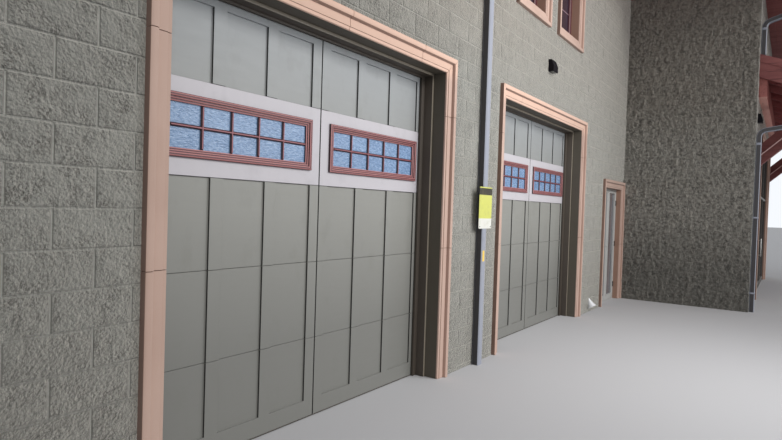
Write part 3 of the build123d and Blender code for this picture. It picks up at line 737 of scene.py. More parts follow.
def windowGaps(side):
    w = upperWindow
    half = w["width"] / 2
    found = []
    for centre in windowPairs.get(side, ()):
        for way in (-1, 1):
            middle = centre + way * w["spacing"] / 2
            found.append((middle - half, middle + half, w["sill"], w["sill"] + w["height"]))
    return found


windows = [(side, inner) for side in windowPairs for inner in windowGaps(side)]


def standing(gap):  # a doorway's rectangle, down to the ground
    return (gap[0], gap[1], 0.0, gap[3])


def dressWalls():
    lap = blockWall["cornerLap"]
    gaps = windowGaps("front") + overheadGaps + [serviceGap]
    blockSkin("front_block_faces", "front", -lap, wingStart, gaps, 5, 1)
    blockSkin("wing_side_block_faces", "wingSide", 0.0, wingOut + lap, [], 9, 2, "cornerBlock", "rugged")
    blockSkin("wing_front_block_faces", "wing", -lap, rightEdge - wingEdge + lap, [entranceGap], 3, 3)
    blockSkin("right_block_faces", "right", -lap, rightLength + lap, windowGaps("right"), 2, 4)
    blockSkin("back_block_faces", "back", -lap, mainLength + lap, windowGaps("back"), 2, 5)
    blockSkin("left_block_faces", "left", -lap, mainDepth + lap, windowGaps("left"), 2, 6)
    dress("inner", "front_wall_piers", "front_wall_upper", "wall_over_service_door", "left_wall", "back_wall",
          "right_wall", "wing_side_wall", "wing_front_piers", "wing_front_upper")
    dress("concrete", "ground_floor", "upper_floor")
    print("block walls dressed")


dressWalls()


# stone surrounds

walkFrameDepth = 0.110


def stoneOutline(inset=0.0):
    s = stoneCasing
    middle = (s["band"] + s["width"]) / 2
    halfBand = (s["width"] - s["band"]) / 2
    band = []
    for i in range(9):
        angle = pi * (1 - i / 8)
        band.append((middle + (halfBand - inset) * cos(angle),
                     s["bandEdge"] - inset + (s["crown"] - s["bandEdge"]) * sin(angle)))
    fascia = s["fascia"] - inset
    quirk = s["quirk"]
    return [
        (inset, -0.004), (inset, fascia - 0.011), (inset + 0.004, fascia - 0.007), (quirk, fascia - 0.007),
        (quirk + 0.002, fascia - 0.001), (quirk + 0.004, fascia),
        (s["step"], fascia), (s["step"] + 0.003, fascia + 0.002), (s["step"] + 0.005, fascia + 0.013),
        *band, (s["width"] - inset, -0.004),
    ]


def stonePart(first, last):  # painted shade: the narrow returns of the moulding are darker than its faces
    s = stoneCasing
    low, high = min(first[0], last[0]), max(first[0], last[0])
    atStep = s["step"] - 0.001 < low and high < s["band"] + 0.002
    atQuirk = s["quirk"] - 0.001 < low and high < s["quirk"] + 0.003
    # the step and the quirk get a lighter painted shade
    if atStep or atQuirk:
        return 3
    return 2 if low > s["width"] - 0.004 else 0


def stoneSurrounds():
    s = stoneCasing

    def addSurround(bm, side, inner, sill, jambs, heads):
        centre = (inner[0] + inner[1]) / 2
        headStones = [centre + shift for shift in heads]
        addCasing(bm, side, inner, stoneOutline(), sill, jambs, headStones, s["joint"], 0, stonePart)
        addCasing(bm, side, inner, stoneOutline(s["core"]), sill, index=1)

    def done(name, bm, node):
        turnOut(bm)
        for face in bm.faces:  # light from below keeps a sill's underside paler
            if face.material_index == 2 and face.normal.z < -0.5:
                face.material_index = 3
        materials = ["stone", "mortar", "stoneShade", "stepShadeStone"]
        makePiece(name, bm, materials, standsFor=(node,), smooth=30)

    for number, gap in enumerate(overheadGaps, 1):
        bm = bmesh.new()
        heads = (-s["headStone"], 0.0, s["headStone"])
        addSurround(bm, "front", standing(gap), False, s["jambStones"], heads)
        done(f"overhead_door_{number}_stones", bm, f"overhead_door_{number}_surround")
    for name, side, gap in (("service_door", "front", serviceGap), ("entrance_door", "wing", entranceGap)):
        bm = bmesh.new()
        heads = s["screenStones"] if name == "entrance_door" else ()
        addSurround(bm, side, standing(gap), False, (s["walkStone"],), heads)
        done(name + "_stones", bm, name + "_surround")
    bm = bmesh.new()
    reveals = bmesh.new()
    for side, inner in windows:
        addSurround(bm, side, inner, True, (), ())
        addReveal(reveals, side, inner, upperWindow["setback"], True)
    done("window_stones", bm, "window_surrounds")
    walkFrames = (("front", serviceGap, "service_door_frame"), ("wing", entranceGap, "entrance_screen_frame"))
    for side, gap, node in walkFrames:
        depth = (sides[side].inverted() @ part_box(node)[1]).y - walkFrameDepth
        addReveal(reveals, side, standing(gap), depth)
    # the reveals are cast stone painted darker, as painted shade
    makePiece("stone_reveals", reveals, ["revealShadeStone"])

    # dark sheets in the overhead doors' reveals: painted shade on the wall's cut face
    bm = bmesh.new()
    for gap in overheadGaps:
        addReveal(bm, "front", standing(gap), s["shadeSheetDepth"])
    makePiece("overhead_door_reveal_sheets", bm, ["sheet"])
    print("stone surrounds made")


stoneSurrounds()


# upper windows

sashOutline = [
    (0.0, -0.150), (0.0, -0.136), (0.010, -0.128), (0.016, -0.120), (0.056, -0.120), (0.060, -0.124),
    (0.060, -0.190), (0.0, -0.190),
]
windowGrid = {"bar": 0.016, "proud": 0.005, "rows": 3}


def upperWindows():
    bm = bmesh.new()
    e = upperWindow["sash"]
    for side, (x0, x1, z0, z1) in windows:
        addCasing(bm, side, (x0 + e, x1 - e, z0 + e, z1 - e), sashOutline, True)
    turnOut(bm)
    makePiece("window_sashes", bm, ["red"], standsFor=("window_frames",), smooth=30)
    bm = bmesh.new()  # a thin grid on the glass
    g = windowGrid
    half = g["bar"] / 2
    front = upperWindow["setback"] + upperWindow["sashDepth"] / 2 - g["proud"]
    back = front + g["proud"] - 0.0005
    for side, (x0, x1, z0, z1) in windows:
        middle = (x0 + x1) / 2
        rise = (z1 - z0 - 2 * e) / g["rows"]
        addBlock(bm, (middle - half, front, z0 + e), (middle + half, back, z1 - e), place=sides[side])
        for row in range(1, g["rows"]):
            z = z0 + e + row * rise
            for a, b in ((x0 + e, middle - half), (middle + half, x1 - e)):
                addBlock(bm, (a, front, z - half), (b, back, z + half), place=sides[side])
    makePiece("window_grids", bm, ["grid"])
    dress("upperGlass", "window_glass")
    print("windows made")


upperWindows()


# overhead doors

doorUnit = {
    "panes": 5, "bar": 0.024, "border": 0.056, "inset": 0.108, "barFront": 0.004, "barBack": 0.014,
    "barBevel": 0.008, "footSeal": 0.030, "footStrip": 0.007, "footInset": 0.06,
}
unitOutline = [(0.0, -0.020), (0.0, 0.001), (0.006, 0.004), (0.013, 0.004), (0.015, 0.009), (0.020, 0.011),
               (0.028, 0.011), (0.030, 0.018), (0.036, 0.021), (0.046, 0.021), (0.052, 0.018), (0.056, 0.017),
               (0.056, -0.024)]


def unitPart(first, last):  # the eased steps of a window unit carry a pale painted highlight
    return 1 if 0.0045 < abs(first[0] - last[0]) < 0.0065 and first[1] != last[1] else 0


def overheadDoor(number):
    prefix = f"overhead_door_{number}_"
    low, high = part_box(prefix + "sections")
    framesLow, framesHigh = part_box(prefix + "window_frames")
    faceY = low.y
    centre = (low.x + high.x) / 2

    def sectionPart(face):  # the steps beside the panels and the groove between the leaves carry painted shade
        spot = face.calc_center_median()
        step = abs(face.normal.x) > 0.9 and faceY + 0.001 < spot.y < faceY + 0.030
        return 1 if step or (abs(spot.x - centre) < 0.007 and spot.y < faceY + 0.010) else 0

    softened(prefix + "sections", ["door", "recessShade"], 0.0015, sort=sectionPart,
             smooth=None, segments=1)
    softened(prefix + "window_section", ["pale", "recessShade"], 0.0015, sort=sectionPart,
             smooth=None, segments=1)
    dress("obscured", prefix + "glass")

    # the two window units: a stepped frame and its bars
    bm = bmesh.new()
    bars = bmesh.new()
    u = doorUnit
    unitLength = (framesHigh.x - framesLow.x) / 2 - u["inset"]
    b = u["border"]
    half = u["bar"] / 2
    front, back = faceY - u["barFront"], faceY + u["barBack"]
    onDoor = Matrix.Translation((0, faceY, 0))
    z0, z1 = framesLow.z, framesHigh.z
    middle = (z0 + z1) / 2
    for x0 in (framesLow.x, framesHigh.x - unitLength):
        x1 = x0 + unitLength
        addCasing(bm, onDoor, (x0 + b, x1 - b, z0 + b, z1 - b), unitOutline, True, part=unitPart)
        pitch = (x1 - x0 - 2 * b) / u["panes"]
        for i in range(1, u["panes"]):
            x = x0 + b + i * pitch
            addBlock(bars, (x - half, front, z0 + b), (x + half, back, z1 - b), u["barBevel"], segments=1)
        addBlock(bars, (x0 + b, front + 0.001, middle - half), (x1 - b, back, middle + half), u["barBevel"],
                 segments=1)
    turnOut(bm)
    # painted shade on the side faces of the stepped frame
    for face in bm.faces:
        if face.material_index == 0 and abs(face.normal.x) > 0.9:
            face.material_index = 2
    makePiece(prefix + "unit_frames", bm, ["red", "redHighlight", "redShadeSide"],
              standsFor=(prefix + "window_frames",))
    bars.normal_update()
    # painted highlight on the bars' fronts, painted shade on their sides
    for face in bars.faces:
        face.material_index = 0 if face.normal.y < -0.9 else 1
    makePiece(prefix + "unit_bars", bars, ["barHighlightRed", "redShadeSide"])

    # a rubber foot under the lowest section, with a bright strip above it
    bm = bmesh.new()
    x0, x1, z = low.x + u["footInset"], high.x - u["footInset"], low.z + 0.002
    addBlock(bm, (x0, faceY + 0.008, 0.0), (x1, faceY + 0.036, u["footSeal"]), 0.008)
    addBlock(bm, (x0, faceY - 0.004, z), (x1, faceY + 0.004, z + u["footStrip"]), 0.001, index=1)
    makePiece(prefix + "foot_seal", bm, ["lightBlack", "steelEdge"], smooth=30)

    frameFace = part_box(prefix + "frame")[0].y

    def steelPart(face):
        return 1 if abs(face.calc_center_median().y - frameFace) < 0.004 else 0

    softened(prefix + "frame", ["steel", "steelEdge"], 0.003, sort=steelPart)


for number in (1, 2):
    overheadDoor(number)
print("overhead doors dressed")


# hinged doors

glazingOutline = [(0.0, 0.0), (0.0, 0.006), (0.006, 0.011), (0.018, 0.011), (0.020, 0.008), (0.020, -0.006),
                  (0.0, -0.006)]


leafThickness = 0.045
glassLap = 0.002


def hingePart(faceY):  # the knuckles stand in front of the leaf's face
    return lambda face: 1 if face.calc_center_median().y < faceY - 0.0012 else 0


def doorLeaf(name, body, material):
    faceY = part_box(name + "_leaf")[1].y - leafThickness
    low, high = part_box(name + "_glass")
    softened(name + "_leaf", [material, "hinge"], 0.0022, body, hingePart(faceY))
    bm = bmesh.new()
    lite = (low.x + glassLap, high.x - glassLap, low.z + glassLap, high.z - glassLap)
    addCasing(bm, Matrix.Translation((0, faceY, 0)), lite, glazingOutline, True)
    turnOut(bm)
    makePiece(name + "_glazing_bead", bm, [material], body, (), 30)
    dress("doorGlass", name + "_glass")
    return faceY


def hingedDoors():
    for side in ("left", "right"):
        name = "service_door_" + side
        faceY = doorLeaf(name, name, "walkFrame")
    softened("service_door_frame", ["walkFrame", "hinge"], 0.0025,
             sort=hingePart(faceY))
    bm = bmesh.new()  # a lock rose and a bolt plate on the left leaf's meeting stile
    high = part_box("service_door_left_leaf")[1]
    x = high.x - serviceLock["inset"]
    z, radius, plate = serviceLock["height"], serviceLock["rose"], serviceLock["plate"]
    addRod(bm, (x, faceY + 0.001, z), (x, faceY - 0.006, z), radius)
    addRod(bm, (x, faceY - 0.005, z), (x, faceY - 0.010, z), radius / 2)
    z = serviceLock["boltHeight"]
    addBlock(bm, (x - plate / 2, faceY - 0.004, z - plate), (x + plate / 2, faceY + 0.001, z + plate), 0.0015)
    makePiece("service_door_lock", bm, ["hinge"], "service_door_left", smooth=40)

    faceY = doorLeaf("entrance_door", "entrance_door", "darkDoor")
    softened("entrance_door_frame", ["darkDoor", "hinge"], 0.0025,
             sort=hingePart(faceY))
    softened("entrance_door_pull", ["pull"], 0.0015, "entrance_door")
    softened("entrance_screen_frame", ["darkDoor"], 0.0025)
    dress("upperGlass", "entrance_screen_glass")
    print("hinged doors dressed")


serviceLock = {"inset": 0.040, "rose": 0.021, "plate": 0.024, "height": 1.09, "boltHeight": 1.99}
hingedDoors()


# eaves: boards, fascia and gutters swept round the plan

plan = [  # corner and which way outwards
    (leftEdge, mainFace, -1, -1), (wingEdge, mainFace, -1, -1), (wingEdge, wingFace, -1, -1),
    (rightEdge, wingFace, 1, -1), (rightEdge, backFace, 1, 1), (leftEdge, backFace, -1, 1),
]


def addRing(bm, outline, closed=True):
    loops = []
    for x, y, wayX, wayY in plan:
        verts = [bm.verts.new((x + wayX * out, y + wayY * out, up)) for out, up in outline]
        count = len(verts) if closed else len(verts) - 1
        loops.append([bm.edges.new((verts[i], verts[(i + 1) % len(verts)])) for i in range(count)])
    for i in range(len(loops)):
        bmesh.ops.bridge_loops(bm, edges=loops[i] + loops[(i + 1) % len(loops)])


eave = {
    "overhang": 0.850, "board": 0.140, "vee": 0.004, "fascia": 0.025, "gutter": 0.125, "gutterHeight": 0.120,
    "gutterDrop": 0.020,
}
gutterSheet = [  # out and up: one bent sheet with a rolled lip
    (0.001, 0.120), (0.001, 0.0), (0.078, 0.0), (0.090, 0.012), (0.096, 0.045), (0.106, 0.062),
    (0.117, 0.074), (0.123, 0.088), (0.123, 0.120), (0.113, 0.120), (0.111, 0.112),
]
gutterStrap = {"spacing": 0.9, "first": 0.3, "canopyFirst": 0.2, "half": 0.012, "foot": 0.010, "head": 0.006}


def eaves():
    soffitLow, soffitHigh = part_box("soffit")
    fasciaLow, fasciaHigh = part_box("fascia")
    o = eave["overhang"]
    bm = bmesh.new()
    count = round(o / eave["board"])
    step = o / count
    v = eave["vee"]
    outline = [(0.0, soffitHigh.z)]
    for i in range(count):
        inner, outer = i * step, (i + 1) * step
        outline += [(inner, soffitLow.z + v), (inner + v, soffitLow.z), (outer - v, soffitLow.z)]
    outline += [(o, soffitLow.z + v), (o, soffitHigh.z)]
    addRing(bm, outline)
    turnOut(bm)
    makePiece("soffit_boards", bm, ["soffit"], standsFor=("soffit",), smooth=20)

    bm = bmesh.new()
    f = o + eave["fascia"]
    low, high = fasciaLow.z, fasciaHigh.z
    addRing(bm, [(o, low), (f - 0.003, low), (f, low + 0.003), (f, low + 0.150), (f - 0.006, low + 0.156),
                 (f - 0.006, high - 0.003), (f - 0.009, high), (o, high)])
    turnOut(bm)
    makePiece("fascia_boards", bm, ["fascia"], standsFor=("fascia",), smooth=20)

    # the gutters, hung from straps
    bm = bmesh.new()
    top = high - eave["gutterDrop"]
    g = eave["gutter"]
    low = top - eave["gutterHeight"]
    addRing(bm, [(f + out, low + up) for out, up in gutterSheet], closed=False)
    turnOut(bm)
    lowCanopy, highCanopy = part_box("canopy_edge_board")
    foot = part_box("gutters")[0].z
    face = lowCanopy.y
    x0, x1 = wingEdge + 0.050, highCanopy.x
    line = [bm.verts.new((x0, face - out, foot + up)) for out, up in gutterSheet]
    edges = [bm.edges.new((line[i], line[i + 1])) for i in range(len(line) - 1)]
    made = bmesh.ops.extrude_edge_only(bm, edges=edges)
    bmesh.ops.translate(bm, vec=(x1 - x0, 0, 0), verts=vertsOf(made))
    gutters = makePiece("gutter_sheets", bm, ["gutter"], standsFor=("gutters",), smooth=25)
    thick = gutters.modifiers.new("sheet", "SOLIDIFY")
    thick.thickness = 0.0025
    thick.offset = 0

    bm = bmesh.new()  # end caps of the canopy gutter, and straps across every gutter
    for x in (x0, x1):
        cap = bm.faces.new([bm.verts.new((x, face - out, foot + up)) for out, up in gutterSheet[:9]])
        made = bmesh.ops.extrude_face_region(bm, geom=[cap])
        bmesh.ops.translate(bm, vec=(0.003 if x == x0 else -0.003, 0, 0), verts=vertsOf(made))
    strap = gutterStrap
    spacing, half = strap["spacing"], strap["half"]
    canopyTop = foot + eave["gutterHeight"]
    z0, z1 = canopyTop - strap["foot"], canopyTop - strap["head"]
    for i in range(int((x1 - x0) / spacing) + 1):
        x = x0 + strap["canopyFirst"] + i * spacing
        if x < x1:
            addBlock(bm, (x - half, face - 0.123, z0), (x + half, face - 0.001, z1))
    z0, z1 = top - strap["foot"], top - strap["head"]
    for i in range(len(plan)):
        ax, ay, sx, sy = plan[i]
        bx, by, tx, ty = plan[(i + 1) % len(plan)]
        start = Vector((ax + sx * f, ay + sy * f, 0))
        end = Vector((bx + tx * f, by + ty * f, 0))
        along = (end - start).normalized()
        outward = Vector((along.y, -along.x, 0))
        place = axes(along, outward, (0, 0, 1), start)
        for k in range(int((end - start).length / spacing)):
            spot = strap["first"] + k * spacing
            addBlock(bm, (spot - half, 0.001, z0), (spot + half, g - 0.002, z1), 0, place)
    turnOut(bm)
    makePiece("gutter_straps", bm, ["gutter"])
    print("eaves made")


eaves()


# canopy timbers

canopyTimber = {"board": 0.145, "vee": 0.005, "thick": 0.020, "slope": 5 / 12, "mould": 0.018}
braceLedge = {"height": 3.020, "angle": 43.0, "middles": (1.650, 7.700), "half": 0.130, "proud": 0.004,
              "tall": 0.022}


def canopy():
    slope = canopyTimber["slope"]
    low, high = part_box("canopy_soffit")
    reach = high.y - low.y
    thick = canopyTimber["thick"]
    bm = bmesh.new()
    count = round((high.x - low.x) / canopyTimber["board"])
    step = (high.x - low.x) / count
    shear = Matrix.Identity(4)
    shear[2][1] = slope
    place = Matrix.Translation((0, high.y, high.z)) @ shear
    v = canopyTimber["vee"]
    for i in range(count):
        x0 = low.x + i * step
        verts = addBlock(bm, (x0 + 0.0008, -reach, -thick), (x0 + step - 0.0008, 0, 0), 0.0)
        under = [e for e in {e for vert in verts for e in vert.link_edges}
                 if all(vert.co.z < -thick / 2 for vert in e.verts)
                 and abs(e.verts[0].co.x - e.verts[1].co.x) < 1e-6]
        ease(bm, under, v, segments=1)
    bmesh.ops.transform(bm, matrix=place, verts=bm.verts)
    makePiece("canopy_soffit_boards", bm, ["soffit"], standsFor=("canopy_soffit",))

    def underPart(face):
        return 1 if face.normal.z < -0.4 else 0

    softened("canopy_barge_boards", ["rake"], 0.006)
    softened("canopy_edge_board", ["fascia"], 0.006)
    # painted light: the ledger's underside is lighter, lit from below
    softened("canopy_ledger", ["fascia", "ledger"], 0.008, sort=underPart)
    softened("canopy_rafters", ["soffit", "rake"], 0.006, sort=underPart)

    softened("canopy_braces", ["brace"], 0.006)
    bm = bmesh.new()  # a pale bead along the ledge between the two timbers of a brace, a painted highlight
    ledge = braceLedge
    ahead = Vector((0, -cos(radians(ledge["angle"])), sin(radians(ledge["angle"]))))
    above = Vector((0, ahead.z, -ahead.y))
    run = (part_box("canopy_soffit")[1].z - ledge["height"]) / (slope + tan(radians(ledge["angle"])))
    for middle in ledge["middles"]:
        place = axes((1, 0, 0), above, ahead, (wingEdge + middle, wingFace, ledge["height"]))
        for way in (-1, 1):
            side = way * ledge["half"]
            low = (min(side, side + way * ledge["proud"]), -ledge["tall"], 0.002)
            high = (max(side, side + way * ledge["proud"]), 0.001, (run - 0.05) / -ahead.y)
            addBlock(bm, low, high, 0.0015, place)
    makePiece("brace_ledge_beads", bm, ["ledgeHighlightTimber"], smooth=30)

    # a narrower board over each barge board
    bm = bmesh.new()
    low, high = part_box("canopy_barge_boards")
    mould = canopyTimber["mould"]
    for x0, x1 in ((low.x - mould, low.x), (high.x, high.x + mould)):
        place = Matrix.Translation((0, high.y, high.z)) @ shear
        addBlock(bm, (x0, low.y - high.y + 0.004, -0.150), (x1, -0.004, -0.004), 0.004, place)
    makePiece("canopy_rake_mould", bm, ["rake"], smooth=30)
    print("canopy made")


canopy()


# roof covering

shingles = {
    "tab": 0.305, "exposure": 0.145, "lap": 0.01, "headRise": 0.003, "footRise": 0.011, "sheet": 0.006,
    "slot": 0.006, "cap": 0.150, "capStep": 0.200, "capLap": 0.05, "capRise": 0.010, "capSink": 0.008,
}


def addShingles(bm, corner, along, upSlope, regions, seed):
    # tabs laid in rows on one slope, trimmed to each convex region of it
    s = shingles
    along, upSlope = Vector(along).normalized(), Vector(upSlope).normalized()
    place = axes(along, upSlope, along.cross(upSlope), corner)
    for region in regions:
        part = bmesh.new()
        partMarks = part.verts.layers.float_color.new("tabMarks")
        lowX, highX = min(p[0] for p in region), max(p[0] for p in region)
        lowY, highY = min(p[1] for p in region), max(p[1] for p in region)
        row = round(lowY / s["exposure"])
        while row * s["exposure"] < highY:
            y = row * s["exposure"]
            columns = ceil((highX - lowX) / s["tab"]) + 2
            verts = bmesh.ops.create_grid(part, x_segments=columns * 2, y_segments=1, size=0.5)["verts"]
            shift = lowX - s["tab"] * (1 + 0.5 * (row % 2))
            faces = list({face for vert in verts for face in vert.link_faces})
            for vert in verts:
                column = round((vert.co.x + 0.5) * columns * 2)
                tab, edge = divmod(column, 2)
                upper = vert.co.y > 0
                vert.co.x = shift + tab * s["tab"] + (s["tab"] - s["slot"] if edge else 0)
                vert.co.y = y + (s["exposure"] + s["lap"] if upper else 0)
                vert.co.z = s["headRise"] if upper else s["footRise"]
                tone = noise.cell(Vector((tab + 0.5, row + 0.5, seed)))
                vert[partMarks] = (tone, 0, 0, 1)
            slots = [face for face in faces if face.calc_area() < s["slot"] * s["exposure"] * 2]
            bmesh.ops.delete(part, geom=slots, context="FACES")
            row += 1
        made = bmesh.ops.extrude_face_region(part, geom=part.faces[:])
        bmesh.ops.translate(part, vec=(0, 0, -s["sheet"]), verts=vertsOf(made))
        turnOut(part)
        for i in range(len(region)):
            a, b = Vector((*region[i], 0)), Vector((*region[(i + 1) % len(region)], 0))
            away = (b - a).cross(Vector((0, 0, 1)))
            if away.length > 0:
                bmesh.ops.bisect_plane(
                    part, geom=part.verts[:] + part.edges[:] + part.faces[:], plane_co=a, plane_no=away,
                    clear_outer=True,
                )
        edges = [edge for edge in part.edges if edge.is_boundary]
        bmesh.ops.holes_fill(part, edges=edges, sides=0)
        bmesh.ops.transform(part, matrix=place, verts=part.verts)
        scratch = bpy.data.meshes.new("scratch")
        part.to_mesh(scratch)
        part.free()
        bm.from_mesh(scratch)
        bpy.data.meshes.remove(scratch)


def roofCovering():
    o = eave["overhang"]
    pitch = canopyTimber["slope"]
    stretch = sqrt(1 + pitch * pitch)
    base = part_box("roof_front")[0].z + 0.180
    west, east = leftEdge - o, rightEdge + o
    south, north, wingSouth = mainFace - o, backFace + o, wingFace - o
    halfMain = mainDepth / 2 + o
    halfWing = (rightEdge - wingEdge) / 2 + o
    length, width = east - west, north - south
    wingX = wingStart
    steps = {
        "front": ((west, south, base), (1, 0, 0), (0, 1, pitch),
                  [[(0, 0), (wingX, 0), (wingX + halfWing, halfWing), (length - halfMain, halfMain),
                    (halfMain, halfMain)]]),
        "back": ((east, north, base), (-1, 0, 0), (0, -1, pitch),
                 [[(0, 0), (length, 0), (length - halfMain, halfMain), (halfMain, halfMain)]]),
        "left": ((west, north, base), (0, -1, 0), (1, 0, pitch),
                 [[(0, 0), (width, 0), (halfMain, halfMain)]]),
        "right": ((east, wingSouth, base), (0, 1, 0), (-1, 0, pitch), [
            [(0, 0), (width + wingOut, 0), (width + wingOut - halfWing, halfWing), (halfWing, halfWing)],
            [(wingOut + halfWing, halfWing), (width + wingOut - halfWing, halfWing),
             (wingOut + halfMain, halfMain)],
        ]),
        "wingFront": ((wingEdge - o, wingSouth, base), (1, 0, 0), (0, 1, pitch),
                      [[(0, 0), (2 * halfWing, 0), (halfWing, halfWing)]]),
        "wingLeft": ((wingEdge - o, south, base), (0, -1, 0), (1, 0, pitch),
                     [[(0, 0), (wingOut, 0), (wingOut - halfWing, halfWing), (-halfWing, halfWing)]]),
    }
    for seed, (name, (corner, along, up, regions)) in enumerate(steps.items()):
        bm = bmesh.new()
        bm.verts.layers.float_color.new("tabMarks")
        stretched = [[(x, y * stretch) for x, y in region] for region in regions]
        addShingles(bm, corner, along, up, stretched, seed)
        makePiece(name + "_shingles", bm, ["shingle"])

    # caps along ridges and hips
    ridgeZ = base + pitch * halfMain
    wingRidgeZ = base + pitch * halfWing
    midY = (mainFace + backFace) / 2
    wingMidX = (wingEdge + rightEdge) / 2
    leftEnd = Vector((west + halfMain, midY, ridgeZ))
    rightEnd = Vector((east - halfMain, midY, ridgeZ))
    wingFrontEnd = Vector((wingMidX, wingSouth + halfWing, wingRidgeZ))
    wingBackEnd = Vector((wingMidX, south + halfWing, wingRidgeZ))
    hip = pitch / sqrt(2)
    lines = [
        (leftEnd, rightEnd, pitch), (wingFrontEnd, wingBackEnd, pitch),
        (Vector((west, south, base)), leftEnd, hip), (Vector((west, north, base)), leftEnd, hip),
        (Vector((east, north, base)), rightEnd, hip), (wingBackEnd, rightEnd, hip),
        (Vector((wingEdge - o, wingSouth, base)), wingFrontEnd, hip),
        (Vector((east, wingSouth, base)), wingFrontEnd, hip),
    ]
    bm = bmesh.new()
    marks = bm.verts.layers.float_color.new("tabMarks")
    s = shingles
    c = s["cap"]
    for start, end, fall in lines:
        run = end - start
        along = run.normalized()
        across = along.cross(Vector((0, 0, 1))).normalized()
        up = across.cross(along)
        place = axes(across, along, up, start)
        for i in range(int(run.length / s["capStep"])):
            y0 = i * s["capStep"]
            y1 = y0 + s["capStep"] + s["capLap"]
            outline = [(-c, -c * fall - 0.004), (0, 0.020), (c, -c * fall - 0.004), (c, -c * fall + 0.006),
                       (0, 0.032), (-c, -c * fall + 0.006)]
            verts = [bm.verts.new((x, y0, z + s["capRise"])) for x, z in outline]
            face = bm.faces.new(verts)
            made = bmesh.ops.extrude_face_region(bm, geom=[face])
            far = vertsOf(made)
            for vert in far:
                vert.co.y = y1
                vert.co.z -= s["capSink"]
            for vert in verts + far:
                vert[marks] = (noise.cell(Vector((i + 0.5, fall * 9, start.x))), 0, 0, 1)
            bmesh.ops.transform(bm, matrix=place, verts=verts + far)
    turnOut(bm)
    makePiece("ridge_and_hip_caps", bm, ["shingle"])

    low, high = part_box("canopy_roof")
    bm = bmesh.new()
    bm.verts.layers.float_color.new("tabMarks")
    reach = (high.y - low.y) * stretch
    region = [(0, 0), (high.x - low.x, 0), (high.x - low.x, reach), (0, reach)]
    eaveZ = high.z - (high.y - low.y) * pitch
    addShingles(bm, (low.x, low.y, eaveZ), (1, 0, 0), (0, 1, pitch), [region], 9)
    makePiece("canopy_shingles", bm, ["shingle"])
    dress("shingle", "roof_front", "roof_back", "roof_left", "roof_right", "wing_roof_front",
          "wing_roof_left", "canopy_roof")
    print("roof covered")


roofCovering()


# downspouts

pipe = {
    "width": 0.100, "depth": 0.080, "corner": 0.010, "bend": 0.120, "strap": 0.030, "standoff": 0.025,
    "lowerElbow": 3.350, "mainOffset": 5.300, "upperElbow": 5.390, "upperOutlet": 5.650, "drop": 0.130,
    "mainX": 5.860, "lowerX": 0.110, "upperX": 0.300, "clips": (0.35, 1.75, 3.15, 4.55),
    "straps": (0.35, 1.75), "lowerSleeve": 3.09, "upperSleeve": 5.25, "slack": 0.003,
}


pipeMarker = {
    "half": 0.023, "halfTall": 0.060, "height": 1.215, "shift": -0.006, "inner": 0.013, "edge": 0.0003,
}


def bentRoute(points, radius):  # straight runs joined by arcs, in one upright plane
    route = [Vector(points[0])]
    for i in range(1, len(points) - 1):
        before, at, after = Vector(points[i - 1]), Vector(points[i]), Vector(points[i + 1])
        way1, way2 = (before - at).normalized(), (after - at).normalized()
        half = way1.angle(way2) / 2
        cut = radius / tan(half)
        centre = at + (way1 + way2).normalized() * (radius / sin(half))
        start, end = at + way1 * cut, at + way2 * cut
        for k in range(7):
            spot = start.lerp(end, k / 6) - centre
            route.append(centre + spot.normalized() * radius)
    route.append(Vector(points[-1]))
    return route


def addPipe(bm, x, face, points):
    route = bentRoute([(x, face - out, up) for out, up in points], pipe["bend"])
    w, d, c = pipe["width"] / 2, pipe["depth"] / 2, pipe["corner"]
    corners = [(w - c, d), (w, d - c), (w, c - d), (w - c, -d),
               (c - w, -d), (-w, c - d), (-w, d - c), (c - w, d)]
    loops = []
    for i, spot in enumerate(route):
        before = route[max(i - 1, 0)]
        after = route[min(i + 1, len(route) - 1)]
        along = (after - before).normalized()
        out = Vector((1, 0, 0)).cross(along).normalized()
        verts = [bm.verts.new(spot + Vector((a, 0, 0)) + out * b) for a, b in corners]
        loops.append([bm.edges.new((verts[k], verts[(k + 1) % 8])) for k in range(8)])
    for i in range(len(loops) - 1):
        bmesh.ops.bridge_loops(bm, edges=loops[i] + loops[i + 1])
    for loop in (loops[0], loops[-1]):
        bmesh.ops.edgeloop_fill(bm, edges=loop)


def addStrap(bm, x, face, z):
    out = pipe["standoff"] + pipe["depth"]
    slack = pipe["slack"]
    w, s = pipe["width"] / 2 + slack, pipe["strap"] / 2
    front = face - out - slack
    addBlock(bm, (x - w, front, z - s), (x + w, face - out + 0.004, z + s), 0.001)
    for way in (-1, 1):
        a, b = x + way * w, x + way * (w + slack)
        addBlock(bm, (min(a, b), front, z - s), (max(a, b), face + 0.001, z + s), 0.001)


def addClip(bm, x, face, z):  # a clip behind the pipe
    w, s = pipe["width"] / 2 - 0.020, pipe["strap"] / 2
    addBlock(bm, (x - w, face - pipe["standoff"] + 0.0005, z - s), (x + w, face + 0.001, z + s), 0.001)


def addSleeve(bm, x, face, out, z, high=0.045):
    w, d = pipe["width"] / 2 + pipe["slack"], pipe["depth"] / 2 + pipe["slack"]
    addBlock(bm, (x - w, face - out - d, z), (x + w, face - out + d, z + high), 0.006)


